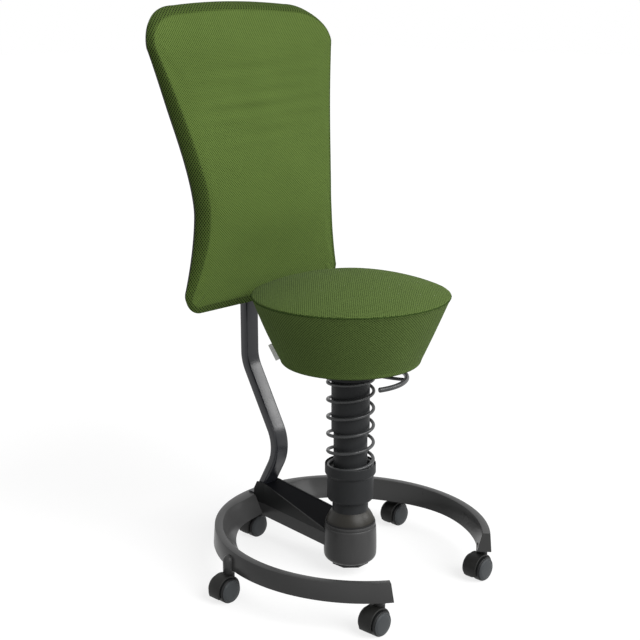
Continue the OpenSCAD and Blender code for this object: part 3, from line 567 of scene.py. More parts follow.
@dataclass(frozen=True)
class PowderCoat(SatinSkin):
    """Polyester powder coat on steel: satin, with a fine orange-peel skin that breaks highlights.

    The peel's bumps are 1.4 mm apart. Real ones are about 1 mm; finer ones wouldn't show.
    """

    def relief(self, tree: bpy.types.NodeTree, place: bpy.types.NodeSocket) -> bpy.types.NodeSocket:
        """Orange peel: a plain noise with one bump to each relief_mm."""
        peel = {"Vector": place, "Scale": 1000 / self.relief_mm, "Detail": 1.0}
        return add_node(tree, "ShaderNodeTexNoise", peel).outputs["Fac"]


@dataclass(frozen=True)
class MouldedPlastic(SatinSkin):
    """Moulded nylon, ABS or rubber with a spark-eroded grain that makes it matt.

    Real grain is about 0.3 mm. It is drawn at 1 mm so that it shows.
    """

    roughness: float = 0.55
    relief_mm: float = 1.0
    relief_strength: float = 0.15
    relief_height: float = 0.0002
    cloud_mm: float = 33.33
    cloud_detail: float = 5.0
    spread: float = 0.06
    tones: tuple[float, float] = (0.88, 1.14)

    def relief(self, tree: bpy.types.NodeTree, place: bpy.types.NodeSocket) -> bpy.types.NodeSocket:
        """Grain: the distance to the nearest of scattered points, one to each relief_mm."""
        grain = {"Vector": place, "Scale": 1000 / self.relief_mm}
        return add_node(tree, "ShaderNodeTexVoronoi", grain, feature="F1").outputs["Distance"]


@dataclass(frozen=True)
class BareSteel:
    """Zinc plated or ground steel: pale metal whose turning marks break its highlights.

    Attributes:
        name: Name of the material.
        colour: Hex colour of the metal.
        roughness: Mean roughness.
        mark_mm: Width and length of a mark. Real ones are about 0.1 mm wide; they are drawn
            coarser so that they show.
        spread: How far the marks lower and raise the roughness.
    """

    name: str
    colour: str
    roughness: float = 0.3
    mark_mm: tuple[float, float] = (1.111, 16.67)
    spread: tuple[float, float] = (-0.08, 0.1)

    def build(self) -> bpy.types.Material:
        """Makes the material: streaks drawn out along Z change the roughness.

        Returns:
            The material.
        """
        material, tree = new_material(self.name)
        place = add_node(tree, "ShaderNodeTexCoord").outputs["Object"]
        fine, long = (1000 / size for size in self.mark_mm)
        drawn = add_node(tree, "ShaderNodeMapping", {"Vector": place, "Scale": (fine, fine, long)})
        marks = add_node(tree, "ShaderNodeTexNoise", {"Vector": drawn.outputs["Vector"], "Scale": 1.0})
        low, high = (self.roughness + step for step in self.spread)
        rough = add_node(
            tree, "ShaderNodeMapRange", {"Value": marks.outputs["Fac"], "To Min": low, "To Max": high}
        )
        shader = add_node(
            tree,
            "ShaderNodeBsdfPrincipled",
            {"Base Color": linear(self.colour), "Roughness": rough.outputs["Result"], "Metallic": 1.0},
        )
        add_node(tree, "ShaderNodeOutputMaterial", {"Surface": shader.outputs["BSDF"]})
        return material


@dataclass(frozen=True)
class KnitNet:
    """One net of a spacer knit: its colours, and how far apart and how open its eyelets are.

    Attributes:
        thread: Hex colour of the lit threads.
        eyelet: Hex colour seen through the eyelets.
        pitch_mm: Distance between eyelets in a row. Real ones are about 2.5 mm apart; they are
            drawn coarser so that they show at the picture's size.
        opened: Value of the waves, up to 1, at which an eyelet is fully open.
        closed: Value of the waves below which there is only thread.
    """

    thread: str
    eyelet: str
    pitch_mm: float = 5.4
    opened: float = 0.75
    closed: float = -0.1

    def build(
        self, tree: bpy.types.NodeTree, flat: bpy.types.NodeSocket
    ) -> tuple[bpy.types.NodeSocket, bpy.types.NodeSocket]:
        """Share of eyelet = cos(u) * cos(v) of the flat cloth place, drawn out by a smooth step.

        Args:
            tree: The material's tree.
            flat: Flat cloth place in metres.

        Returns:
            The net's colour, and its share of eyelet from 0 on a thread to 1.
        """
        turns = TURN * 1000 / self.pitch_mm
        spread = {0: flat, 1: (turns, turns, 1.0)}
        turned = add_node(tree, "ShaderNodeVectorMath", spread, operation="MULTIPLY").outputs[0]
        split = add_node(tree, "ShaderNodeSeparateXYZ", {0: turned}).outputs
        across, along = (
            add_node(tree, "ShaderNodeMath", {0: split[axis]}, operation="COSINE").outputs[0] for axis in "XY"
        )
        knit = add_node(tree, "ShaderNodeMath", {0: across, 1: along}, operation="MULTIPLY").outputs[0]
        steps = {"Value": knit, "From Min": self.closed, "From Max": self.opened}
        share = add_node(tree, "ShaderNodeMapRange", steps, interpolation_type="SMOOTHSTEP").outputs["Result"]
        tones = {"Factor": share, "A": linear(self.thread), "B": linear(self.eyelet)}
        return add_node(tree, "ShaderNodeMix", tones, data_type="RGBA").outputs["Result"], share


@dataclass(frozen=True)
class SpacerKnit:
    """Polyester spacer knit: a soft net whose eyelets show the darker layer underneath.

    Attributes:
        name: Name of the material.
        face: Net of the faces.
        edge: Net of the stretched edge band, on a piece with the edge_band attribute.
        roughness: Roughness of the threads.
        gloss: Their specular level.
        sheen: Weight of the fuzz's sheen.
        sheen_roughness: Its roughness.
        fuzz_mm: Size of the fuzz, about that of the real yarn's loops.
        cloud_mm: Size of the patches where the cloth lies lighter or darker.
        cloud_tones: The darkest and the lightest patch.
        relief_strength: How strongly net and fuzz turn the light.
        relief_height: Depth of an eyelet in metres.
    """

    name: str
    face: KnitNet
    edge: KnitNet | None = None
    roughness: float = 0.95
    gloss: float = 0.04
    sheen: float = 0.02
    sheen_roughness: float = 0.5
    fuzz_mm: float = 0.5556
    cloud_mm: float = 111.1
    cloud_tones: tuple[float, float] = (0.9, 1.1)
    relief_strength: float = 0.5
    relief_height: float = 0.0008

    def build(self) -> bpy.types.Material:
        """Makes the material: the nets' colours times the patches, over a relief of net and fuzz.

        Returns:
            The material.
        """
        material, tree = new_material(self.name)
        flat = add_node(tree, "ShaderNodeUVMap", uv_map="cloth").outputs["UV"]
        place = add_node(tree, "ShaderNodeTexCoord").outputs["Object"]
        colour, share = self.face.build(tree, flat)
        if self.edge:
            edge = self.edge.build(tree, flat)[0]
            band = add_node(tree, "ShaderNodeAttribute", attribute_name="edge_band").outputs["Fac"]
            both = {"Factor": band, "A": colour, "B": edge}
            colour = add_node(tree, "ShaderNodeMix", both, data_type="RGBA").outputs["Result"]
        noise = {"Vector": place, "Scale": 1000 / self.cloud_mm, "Detail": 3.0}
        cloud = add_node(tree, "ShaderNodeTexNoise", noise).outputs["Fac"]
        low, high = self.cloud_tones
        shade = add_node(tree, "ShaderNodeMapRange", {"Value": cloud, "To Min": low, "To Max": high})
        product = {"Factor": 1.0, "A": colour, "B": shade.outputs["Result"]}
        tone = add_node(tree, "ShaderNodeMix", product, data_type="RGBA", blend_type="MULTIPLY")
        noise = {"Vector": place, "Scale": 1000 / self.fuzz_mm, "Detail": 1.0}
        fuzz = add_node(tree, "ShaderNodeTexNoise", noise).outputs["Fac"]
        relief = add_node(tree, "ShaderNodeMath", {0: share, 1: -1.0, 2: fuzz}, operation="MULTIPLY_ADD")
        height = {"Height": relief.outputs[0], "Strength": self.relief_strength}
        bump = add_node(tree, "ShaderNodeBump", {**height, "Distance": self.relief_height})
        shader = add_node(
            tree,
            "ShaderNodeBsdfPrincipled",
            {
                "Base Color": tone.outputs["Result"],
                "Roughness": self.roughness,
                "Specular IOR Level": self.gloss,
                "Sheen Weight": self.sheen,
                "Sheen Roughness": self.sheen_roughness,
                "Normal": bump.outputs["Normal"],
            },
        )
        add_node(tree, "ShaderNodeOutputMaterial", {"Surface": shader.outputs["BSDF"]})
        return material


# Finish of each material slot in the record. The comments say what the material gives the eye.
FINISHES: dict[str, SatinSkin | BareSteel] = {
    # Powder coat on the cast ring and cup: dark grey satin, a soft sheen broken by the 1.4 mm peel.
    "frame_paint": PowderCoat("powder_coated_steel_graphite", "414141", roughness=0.3, gloss=0.15),
    # The same powder, smoother: the flat bar mirrors the room in one long, slightly blue streak.
    "bar_paint": PowderCoat("powder_coated_bar_graphite", "26282D", roughness=0.28, gloss=0.46),
    # The bracket's top plate: nearly black, with hardly a highlight; its slight blue tint is a painted
    # reflection.
    "plate_paint": PowderCoat("near_black_plate_blue_tint", "0A0B0E", roughness=0.6, gloss=0.03),
    # Glass-filled nylon out of an eroded mould: even dark grey, with no clear highlight.
    "knob_plastic": MouldedPlastic("moulded_nylon_black", "232323"),
    # Rubber with carbon black, as it leaves the mould: black and dull.
    "core_rubber": MouldedPlastic("moulded_rubber_black", "1B1B1B", roughness=0.7, ior=1.52, gloss=0.2),
    # Acetal, rubbed smooth in its seat: warm black, with one wide round highlight.
    "ball_plastic": MouldedPlastic(
        "moulded_acetal_warm_black", "211F1A", roughness=0.4, ior=1.48, gloss=0.3
    ),
    # Acetal bush: black, smoother than the nylon, seen as a thin line between the tubes.
    "bush_plastic": MouldedPlastic("moulded_bush_black", "1A1A1A", roughness=0.4),
    # Coated spring wire: dark grey, with a thin pale line along the top of each turn.
    "spring_steel": PowderCoat("coated_spring_wire", "343536", roughness=0.32, gloss=0.4),
    # Stoved enamel on the gas cylinder: black satin.
    "cylinder_paint": PowderCoat("enamelled_cylinder_black", "202020", roughness=0.35),
    # Zinc plate on screws, pins and the gas rod: pale metal, its highlights drawn out along the part.
    "bright_steel": BareSteel("zinc_plated_steel", "A8A8A4"),
    # Moulded nylon hood: black, with a faint sheen along the drum.
    "castor_plastic": MouldedPlastic("moulded_castor_hood_black", "171716", roughness=0.5, gloss=0.25),
    # Moulded nylon wheel with a soft tread: a slightly blue black, matt.
    "wheel_plastic": MouldedPlastic("moulded_wheel_black", "121314", roughness=0.5, gloss=0.25),
}
# Powder coat on the sheet-steel bracket: darker than the ring, a dull sheen on its bevels.
BRACKET_PAINT = PowderCoat("powder_coated_bracket_graphite", "242525", roughness=0.36, gloss=0.1)
# Rolled and blackened tube: black satin, with a wide soft light down its front.
TUBE_SATIN = PowderCoat("black_tube_satin", "2A2B2C", roughness=0.45, gloss=0.12)
# The wheels' moulded side discs: grey, paler than the tread, so that each wheel reads as a ring.
WHEEL_FACE = MouldedPlastic("moulded_wheel_face_grey", "323537", roughness=0.45)
# Leaf-green knit pulled over the seat's foam: pale threads in a diamond net over dark green.
SEAT_KNIT = SpacerKnit("spacer_knit_seat", KnitNet("5C703B", "2D3A19"))
# The same knit on the backrest, pulled open and darker round its edge band.
BACK_KNIT = SpacerKnit(
    "spacer_knit_backrest",
    KnitNet("5C7137", "243211"),
    KnitNet("4B5E2B", "0C1206", pitch_mm=7.4, opened=0.55),
)
# Twisted polyester cord in the seam: dark green, dull, grained at 1 mm as its strands are.
SEAM_KNIT = MouldedPlastic("seam_cord_dark_green", "33461E", roughness=0.9, gloss=0.05)
# Woven polyester tape: plain white, matt. Its real threads are 0.2 mm; the grain is drawn at 1 mm.
TAG_TAPE = MouldedPlastic("woven_tape_white", "F4F4F2", roughness=0.85, gloss=0.1)


@dataclass(frozen=True)
class Column:
    """Where the stool's column stands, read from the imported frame."""

    x: float
    y: float

    @classmethod
    def from_frame(cls) -> "Column":
        """Middle of the neck tube's box."""
        low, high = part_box("neck_tube")
        return cls((low[0] + high[0]) / 2, (low[1] + high[1]) / 2)

    def place(self, points: np.ndarray) -> np.ndarray:
        """Moves points measured from the column's foot into the row frame."""
        return points + np.array([self.x, self.y, 0.0])


# Base


@dataclass
class BaseRing:
    """C-shaped ring: an ellipse in plan, sloped inside, flared a little outside.

    Its top and its foot grow wider where the bar stands, and its foot all round the rear. A round
    boss stands over each castor's stem, and a collar turns with the castor under it.
    """

    column: Column
    half_width: float = 0.2726
    half_length: float = 0.295
    middle_y: float = -0.0028
    top: float = 0.1025
    bottom: float = 0.064
    top_width: float = 0.016
    foot_width: float = 0.0265
    draft: float = 0.003
    end_angle: float = 146.0
    end_setback: float = 1.1
    sections: int = 220
    rear_extra: float = 0.018
    rear_start: float = -0.3
    rear_ease: float = 0.85
    bar_extra: float = 0.014
    bar_reach: float = 32.0
    bar_ease: float = 20.0
    bar_foot_share: float = 0.6
    corner_soft: tuple[float, ...] = (0.0009, 0.0011, 0.0010, 0.0009)
    corner_middle: float = 0.3
    stem_turns: tuple[float, ...] = (0.0, 72.2, 140.8, -140.8, -72.2)
    stem_insets: tuple[float, ...] = (0.0132, -0.003, 0.015, 0.015, -0.003)
    boss_radius: float = 0.0121
    boss_tops: tuple[float, ...] = (0.080, 0.080, 0.066, 0.066, 0.080)
    boss_bottom: float = 0.056
    boss_chamfer: float = 0.0008
    boss_bore: float = 0.0062
    collar_gap: float = 0.0009
    collar_bottom: float = 0.040
    collar_top: float = 0.0554
    collar_chamfer: tuple[float, float] = (0.0005, 0.0006)
    collar_core: float = 0.004
    round_steps: int = 40

    def at(self, turn: np.ndarray, inward: np.ndarray | float, height: float) -> np.ndarray:
        """Points of the plan: the ellipse at each turn from the rear, moved in along its normal.

        Args:
            turn: Turns from the rear, in radians.
            inward: How far the points lie inside the ellipse.
            height: Their height.

        Returns:
            The points.
        """
        normal = unit(coords(np.sin(turn) / self.half_width, np.cos(turn) / self.half_length))
        x = self.half_width * np.sin(turn) - inward * normal[:, 0]
        y = self.middle_y + self.half_length * np.cos(turn) - inward * normal[:, 1]
        return coords(x, y, height)

    def rows(self) -> np.ndarray:
        """Four-cornered sections along the ring, each corner rounded by three points.

        Returns:
            Points as sections x 12 x 3.
        """
        turn = np.radians(np.linspace(-self.end_angle, self.end_angle, self.sections))
        upper = turn * (1 - self.end_setback / self.end_angle)
        wide = self.bar_extra * smooth_step((self.bar_reach - np.abs(np.degrees(turn))) / self.bar_ease)
        rear = self.rear_extra * smooth_step((np.cos(turn) - self.rear_start) / self.rear_ease)
        corners = [
            self.at(turn, -self.draft, self.bottom),
            self.at(upper, 0.0, self.top),
            self.at(upper, self.top_width + wide, self.top),
            self.at(turn, self.foot_width + rear + self.bar_foot_share * wide, self.bottom),
        ]
        corners = np.stack(corners, axis=1)
        before = unit(np.roll(corners, 1, axis=1) - corners)
        after = unit(np.roll(corners, -1, axis=1) - corners)
        soft = np.array(self.corner_soft)[None, :, None]
        middle = corners + (before + after) * soft * self.corner_middle
        points = [corners + before * soft, middle, corners + after * soft]
        return np.stack(points, axis=2).reshape(len(turn), -1, 3)

    def stem(self, number: int) -> np.ndarray:
        """Point on the floor under a castor's stem."""
        inset = self.stem_insets[number - 1]
        return self.at(np.radians([self.stem_turns[number - 1]]), inset, 0.0)[0]

    def boss(self, number: int, material: bpy.types.Material) -> None:
        """Round-topped boss over a castor's stem: a cylinder with a half ball on it.

        Args:
            number: Number of the castor.
            material: What it is dressed with.
        """
        top = self.boss_tops[number - 1]
        arc = np.linspace(0, TURN / 4, 9)[:-1]
        dome = coords(self.boss_radius * np.cos(arc), top + self.boss_radius * np.sin(arc))
        foot = [
            [self.boss_bore, self.boss_bottom],
            [self.boss_radius - self.boss_chamfer, self.boss_bottom],
            [self.boss_radius, self.boss_bottom + self.boss_chamfer],
        ]
        rows = revolve(np.concatenate([foot, dome]), self.stem(number), Z_AXIS, self.round_steps)
        piece = make_piece(f"castor_boss_{number}", *skin(self.column.place(rows)), sharp=0.8)
        settle(piece, "base", "frame_paint", material)

    def collar(self, number: int, material: bpy.types.Material) -> None:
        """Round collar on top of a castor's hood, turning with it under the boss.

        Args:
            number: Number of the castor.
            material: What it is dressed with.
        """
        wide = self.boss_radius - self.collar_gap
        profile = np.array(
            [
                [self.collar_core, self.collar_bottom],
                [wide, self.collar_bottom],
                [wide, self.collar_top - self.collar_chamfer[1]],
                [wide - self.collar_chamfer[0], self.collar_top],
                [self.collar_core, self.collar_top],
            ]
        )
        rows = revolve(profile, self.stem(number), Z_AXIS, self.round_steps)
        piece = make_piece(f"castor_collar_{number}", *skin(self.column.place(rows)), sharp=0.6)
        settle(piece, f"castor_{number}", "castor_plastic", material)

    def build(self, material: bpy.types.Material) -> None:
        """Builds the ring and its five bosses.

        Args:
            material: What they are dressed with.
        """
        ring = make_piece("ring_casting", *skin(self.column.place(self.rows())), sharp=0.6)
        settle(ring, "base", "frame_paint", material, "base_ring")
        for number in range(1, 6):
            self.boss(number, material)


@dataclass
class BackrestBar:
    """Flat bar bent twice: up and forwards from the ring, then back, then upright."""

    column: Column
    width: float = 0.040
    thickness: float = 0.020
    edge: float = 0.006
    lean: float = 29.0
    low_bend: float = 0.084
    high_bend: float = 0.080
    upright_y: float = 0.2945
    high_z: float = 0.402
    low_z: float = 0.222
    foot_z: float = 0.1057
    top_z: float = 0.645

    def path(self) -> tuple[np.ndarray, np.ndarray]:
        """Middle line in the plane x = 0: straights joined by arcs of the two bends' radii.

        Returns:
            Points from foot to top, and the lean at each.
        """
        lean = np.radians(self.lean)
        run = np.tan(lean)
        low_y = self.upright_y - (self.high_z - self.low_z) * run
        start = self.low_z - self.low_bend * np.tan(lean) * np.cos(lean)
        end = self.high_z + self.high_bend * np.tan(lean / 2)
        first = np.linspace(-lean, lean, 25)
        second = np.linspace(lean, 0, 17)
        low_arc = low_y + (self.low_z - start) * run + self.low_bend * (np.cos(lean) - np.cos(first))
        high_arc = self.upright_y - self.high_bend * (1 - np.cos(second))
        foot_y = low_y + (self.low_z - self.foot_z) * run
        y = np.concatenate([[foot_y], low_arc, high_arc, [self.upright_y]])
        low_rise = start + self.low_bend * (np.sin(lean) + np.sin(first))
        high_rise = end - self.high_bend * np.sin(second)
        z = np.concatenate([[self.foot_z], low_rise, high_rise, [self.top_z]])
        return coords(0.0, y, z), np.concatenate([[-lean], first, second, [0.0]])

    def build(self, material: bpy.types.Material) -> None:
        """Sweeps the rounded outline along the middle line, with its foot cut level.

        Args:
            material: What it is dressed with.
        """
        line, lean = self.path()
        across = np.tile(X_AXIS, (len(line), 1))
        back = coords(0.0, np.cos(lean), -np.sin(lean))
        rows = sweep(line, across, back, rounded_rectangle(self.width, self.thickness, self.edge, 7))
        slide = (self.foot_z - rows[0, :, 2]) / np.cos(lean[0])
        rows[0] += slide[:, None] * np.array([0.0, np.sin(lean[0]), np.cos(lean[0])])
        bar = make_piece("bent_bar", *skin(self.column.place(rows)), sharp=0.7)
        settle(bar, "base", "bar_paint", material, "backrest_bar")


# Column


@dataclass
class FootCup:
    """Cast cup that holds the swing ball: barrel-shaped, with a groove and a thin lip at its rim.

    Each pair in rim_steps is the radius of a corner of shoulder, groove or lip, and how far it
    lies below the rim.
    """

    column: Column
    wide: float = 0.0552
    shoulder: float = 0.0540
    barrel_power: float = 2.6
    bottom: float = 0.028
    fillet: float = 0.013
    fillet_step: float = 0.0004
    rim: float = 0.1105
    side_drop: float = 0.0105
    rim_steps: tuple[tuple[float, float], ...] = (
        (0.0534, 0.0082),
        (0.0526, 0.0072),
        (0.0512, 0.0071),
        (0.0512, 0.0058),
        (0.0524, 0.0057),
        (0.0528, 0.0051),
        (0.0526, 0.0008),
        (0.0521, 0.0),
        (0.0518, 0.0),
    )
    swing_z: float = 0.101
    bowl: float = 0.0503
    bowl_turns: tuple[float, float] = (0.06, 1.39)
    mouth_drop: float = 0.002
    ball: float = 0.0515
    stem: float = 0.0086
    stem_step: float = 0.0004
    # Black ring of painted shade above the lip, in the groove under the ball: its heights above the rim, its
    # gap to the ball and its width.
    shade_ring_heights: tuple[float, float] = (0.0001, 0.0036)
    shade_ring_gap: float = 0.0002
    shade_ring_outer: float = 0.0013
    steps: int = 96

    def profile(self) -> np.ndarray:
        """Closed outline: underside, fillet, barrel side, groove, lip, then the bowl down to the stem.

        Returns:
            Pairs of (radius, height).
        """
        arc = np.linspace(-TURN / 4, 0, 9)
        inset = self.wide - self.fillet_step - self.fillet
        fillet = coords(inset + self.fillet * np.cos(arc), self.bottom + self.fillet * (1 + np.sin(arc)))
        height = np.linspace(self.bottom + self.fillet, self.rim - self.side_drop, 9)[1:]
        share = (height - height[0]) / (height[-1] - height[0])
        side = coords(self.wide - (self.wide - self.shoulder) * share**self.barrel_power, height)
        steps = np.array(self.rim_steps) * np.array([1.0, -1.0]) + np.array([0.0, self.rim])
        mouth = [[steps[-1, 0], self.swing_z - self.mouth_drop]]
        turn = np.linspace(*self.bowl_turns, 12)
        inside = coords(self.bowl * np.cos(turn), self.swing_z - self.bowl * np.sin(turn))
        hole = [[self.stem, inside[-1, 1] - self.stem_step], [self.stem, self.bottom]]
        return np.concatenate([fillet, side, steps, mouth, inside, hole])

    def build(self, metal: bpy.types.Material, rubber: bpy.types.Material) -> None:
        """Turns the cup, and a black ring above its lip that is painted shade: it darkens the groove under
        the ball.

        Args:
            metal: What the cup is dressed with.
            rubber: What the ring of painted shade is dressed with.
        """
        foot = self.column.place(np.zeros(3))
        cup = make_piece("cup_casting", *turned_ring(self.profile(), foot, Z_AXIS, self.steps), sharp=0.6)
        settle(cup, "base", "frame_paint", metal, "foot_cup")
        # Painted shade: a black ring fills the gap between ball and lip, where the groove lies in shade.
        low, high = self.shade_ring_heights
        height = np.linspace(self.rim + low, self.rim + high, 5)
        ball = np.sqrt(self.ball**2 - (height - self.swing_z) ** 2)
        inner, outer = coords(ball + self.shade_ring_gap, height), coords(ball + self.shade_ring_outer, height)
        shade_ring = turned_ring(np.concatenate([inner, outer[::-1]]), foot, Z_AXIS, self.steps)
        settle(make_piece("groove_shade_ring", *shade_ring, sharp=0.6), "base", "core_rubber", rubber)


@dataclass
class ReleaseLever:
    """Bent round lever under the seat: a curved handle on a thin rod that runs to the hub.

    The rod follows a cubic Bezier curve through rod_stops, and the root is the eye on its pin.
    """

    column: Column
    handle_radius: float = 0.0051
    bend: float = 0.1009
    middle: tuple[float, float] = (-0.013, -0.0263)
    level: float = 0.430
    first: float = -111.5
    last: float = -22.0
    rod_radius: float = 0.0034
    rod_stops: tuple[tuple[float, float, float], ...] = (
        (0.0, -0.0385, 0.4405),
        (0.006, -0.056, 0.4345),
        (0.014, -0.075, 0.4315),
        (0.037, -0.112, 0.4300),
    )
    root: tuple[float, float, float] = (0.0, -0.034, 0.441)
    root_bore: float = 0.0034
    root_radius: float = 0.0055
    root_half: float = 0.008

    def build(self, material: bpy.types.Material) -> None:
        """Sweeps handle and rod, and turns the root that the pin goes through.

        Args:
            material: What it is dressed with.
        """
        angle = np.radians(np.linspace(self.first, self.last, 60))
        x, y = self.middle[0] + self.bend * np.cos(angle), self.middle[1] + self.bend * np.sin(angle)
        handle = coords(x, y, self.level)
        share = np.linspace(0, 1, 30)
        rest = 1 - share
        weights = coords(rest**3, 3 * rest**2 * share, 3 * rest * share**2, share**3)
        rod = weights @ np.array(self.rod_stops)
        eye = band_profile(self.root_bore, self.root_radius, -self.root_half, self.root_half)
        root = turned_ring(eye, np.array(self.root), X_AXIS, 32)
        points, faces = joined(tube(handle, self.handle_radius, 24), tube(rod, self.rod_radius, 16), root)
        lever = make_piece("bent_lever", self.column.place(points), faces, sharp=0.8)
        settle(lever, "lever", "spring_steel", material, "release_lever")


@dataclass
class CoilSpring:
    """Wound steel wire: a right-handed helix that eases into a flat turn at each end."""

    column: Column
    outer_radius: float = 0.0503
    wire: float = 0.007
    pitch: float = 0.0366
    low_z: float = 0.2317
    high_z: float = 0.4193
    flat_turns: float = 0.75
    ease: float = 0.3
    start: float = 171.7
    seat_z: float = 0.228
    travel: float = 0.040
    rings_per_turn: int = 60
    wire_steps: int = 20

    def ramp(self, turns: np.ndarray) -> np.ndarray:
        """Turns climbed: none before the open part, a parabola over the ease, then one for one."""
        bend = (turns + self.ease) ** 2 / (4 * self.ease)
        return np.where(turns < -self.ease, 0.0, np.where(turns < self.ease, bend, turns))

    def heights(self, open_part: np.ndarray, open_turns: float) -> np.ndarray:
        """Height of the wire: pitch times the turns climbed, from whichever end is nearer.

        Args:
            open_part: Turns from the start of the open part.
            open_turns: Turns in the open part.

        Returns:
            Height at each turn.
        """
        low = self.low_z + self.pitch * self.ramp(open_part)
        high = self.high_z - self.pitch * self.ramp(open_turns - open_part)
        return np.where(open_part < open_turns / 2, low, high)

    def build(self, material: bpy.types.Material) -> None:
        """Sweeps a round wire along the helix and puts it on the column, with a mesh of its own.

        Args:
            material: What it is dressed with.
        """
        open_turns = (self.high_z - self.low_z) / self.pitch
        total = open_turns + 2 * self.flat_turns
        turns = np.linspace(0, total, int(total * self.rings_per_turn)) - self.flat_turns
        angle = np.radians(self.start) + TURN * turns
        radius = self.outer_radius - self.wire / 2
        line = coords(radius * np.cos(angle), radius * np.sin(angle), self.heights(turns, open_turns))
        tips = self.wire * coords(-np.sin(angle[[0, -1]]), np.cos(angle[[0, -1]]), 0.0)
        line = np.concatenate([line[:1] - tips[:1], line, line[-1:] + tips[1:]])
        way = unit(np.gradient(line, axis=0))
        flat = line * (X_AXIS + Y_AXIS)
        out = unit(flat - way * np.sum(flat * way, axis=1, keepdims=True))
        rows = sweep(line, out, np.cross(way, out), circle(self.wire_steps, self.wire / 2))
        wire = make_piece("wound_spring", *skin(self.column.place(rows)), sharp=0.9)
        settle(wire, "column", "spring_steel", material, "coil_spring")
        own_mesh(wire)


# Seat


@dataclass
class SeatCushion:
    """Round foam cushion: domed top, a sewn seam at its widest edge and a side drawn in below.

    Each pair in seam_steps is how far inside the widest radius a corner of the seam lies, and how
    far above the seam. Waves are given as (height, number round the seat, start).
    """

    column: Column
    radius: float = 0.200
    rim_z: float = 0.5917
    bottom_z: float = 0.455
    bottom_radius: float = 0.1388
    side_inset: float = 0.003
    side_top: float = 0.0035
    bulge: float = 0.0012
    edge: float = 0.008
    under_rows: int = 6
    pinned_rows: int = 9
    seam_steps: tuple[tuple[float, float], ...] = (
        (0.0018, -0.0022),
        (0.0022, -0.0012),
        (0.0034, 0.0),
        (0.0022, 0.0012),
        (0.0020, 0.0022),
    )
    seam_reach: float = 0.006
    seam_hold: float = 1.6
    crown: float = 0.0446
    crown_start: float = 0.0035
    crown_inset: float = 0.004
    crown_power: float = 1.85
    crown_spacing: float = 0.9
    steps: int = 288
    pucker: tuple[tuple[float, ...], ...] = ((0.00035, 61, 0.0), (0.000245, 97, 1.3), (0.000175, 23, 0.4))
    side_waves: tuple[tuple[float, ...], ...] = ((0.0007, 3, 0.6), (0.0005, 5, 2.1))
    side_seam: tuple[float, float] = (0.0012, 1.2)
    unrolled_radius: float = 0.17
    swell: float = 0.0012
    cord_radius: float = 0.0010
    cord_inset: float = 0.0017
    cord_steps: int = 10
    cord_waves: tuple[tuple[float, ...], ...] = ((0.00025, 61, 0.0), (0.0002, 97, 1.3))
    cord_rise: tuple[tuple[float, ...], ...] = ((0.0003, 41, 0.0),)
    tag_angle: float = 135.5
    tag_length: float = 0.036
    tag_width: float = 0.010
    tag_thick: float = 0.0012
    tag_grid: tuple[int, int] = (15, 7)
    tag_drop: float = 0.002
    tag_slant: float = 0.9
    tag_lap: float = 0.0002
    tag_curl: float = 0.0012
    tag_curl_turn: float = 2.6
    tag_shift: float = 0.0005

    def side_radius(self, height: np.ndarray) -> np.ndarray:
        """Radius of the side: straight from bottom to rim, bulged by half a sine.

        Args:
            height: Heights on the side.

        Returns:
            Radius at each height.
        """
        share = (height - self.bottom_z) / (self.rim_z - self.side_inset - self.bottom_z)
        slope = (self.radius - self.side_inset - self.bottom_radius) * share
        return self.bottom_radius + slope + self.bulge * np.sin(np.pi * share)

    def profile(self) -> tuple[np.ndarray, int]:
        """Half outline from the middle of the underside to the peak: the dome is a 1.85th power.

        Returns:
            Pairs of (radius, height), and the number of the seam's deepest one.
        """
        edge_z = self.bottom_z + self.edge
        arc = np.linspace(-TURN / 4, 0, 9)[:-1]
        reach = np.linspace(0.02, 0.9, self.under_rows) * (self.bottom_radius - self.edge)
        under = coords(reach, self.bottom_z)
        foot_radius = self.side_radius(np.array(edge_z)) - self.edge * (1 - np.cos(arc))
        foot = coords(foot_radius, edge_z + self.edge * np.sin(arc))
        height = np.linspace(edge_z, self.rim_z - self.side_top, 26)
        side = coords(self.side_radius(height), height)
        seam = np.array(self.seam_steps) * np.array([-1.0, 1.0]) + np.array([self.radius, self.rim_z])
        spread = 1 - np.linspace(0, 1, 40)[:-1] ** self.crown_spacing
        rise = (self.crown - self.crown_start) * spread**self.crown_power
        dome = coords((self.radius - self.crown_inset) * spread, self.rim_z + self.crown - rise)
        middle = len(under) + len(foot) + len(side) + len(seam) // 2
        return np.concatenate([under, foot, side, seam, dome]), middle

    def rows(self, profile: np.ndarray) -> np.ndarray:
        """Revolves the outline: puckered near the seam, uneven and sewn up one line on its side.

        Args:
            profile: The half outline.

        Returns:
            Points as outline points x steps x 3, measured from the column.
        """
        number = np.arange(self.steps)
        turn = np.radians(self.tag_angle) + number * TURN / self.steps
        near_rim = np.exp(-(((profile[:, 1] - self.rim_z) / self.seam_reach) ** 2))[:, None]
        share = np.clip((profile[:, 1] - self.bottom_z) / (self.rim_z - self.bottom_z), 0, 1)[:, None]
        deep, wide = self.side_seam
        seam_dip = -deep * np.exp(-((np.minimum(number, self.steps - number) / wide) ** 2))
        radius = profile[:, 0, None] + near_rim * waves(turn, self.pucker)
        radius = radius + np.sin(np.pi * share) * (waves(turn, self.side_waves) + seam_dip)
        return coords(radius * np.cos(turn), radius * np.sin(turn), profile[:, 1, None])

    def free(self, count: int, seam: int) -> np.ndarray:
        """How far each point may swell: not at all under the seat and at the seam.

        Args:
            count: Number of rows.
            seam: Number of the row at the seam.

        Returns:
            Share from 0 to 1 of each point, the two middle points last.
        """
        number = np.arange(count)
        rows = np.where(number < self.pinned_rows, 0.0, 1.0)
        rows *= 1 - np.exp(-(((number - seam) / self.seam_hold) ** 2))
        rows[seam - 1 : seam + 2] = 0
        return np.concatenate([np.repeat(rows, self.steps), [0.0, 1.0]])

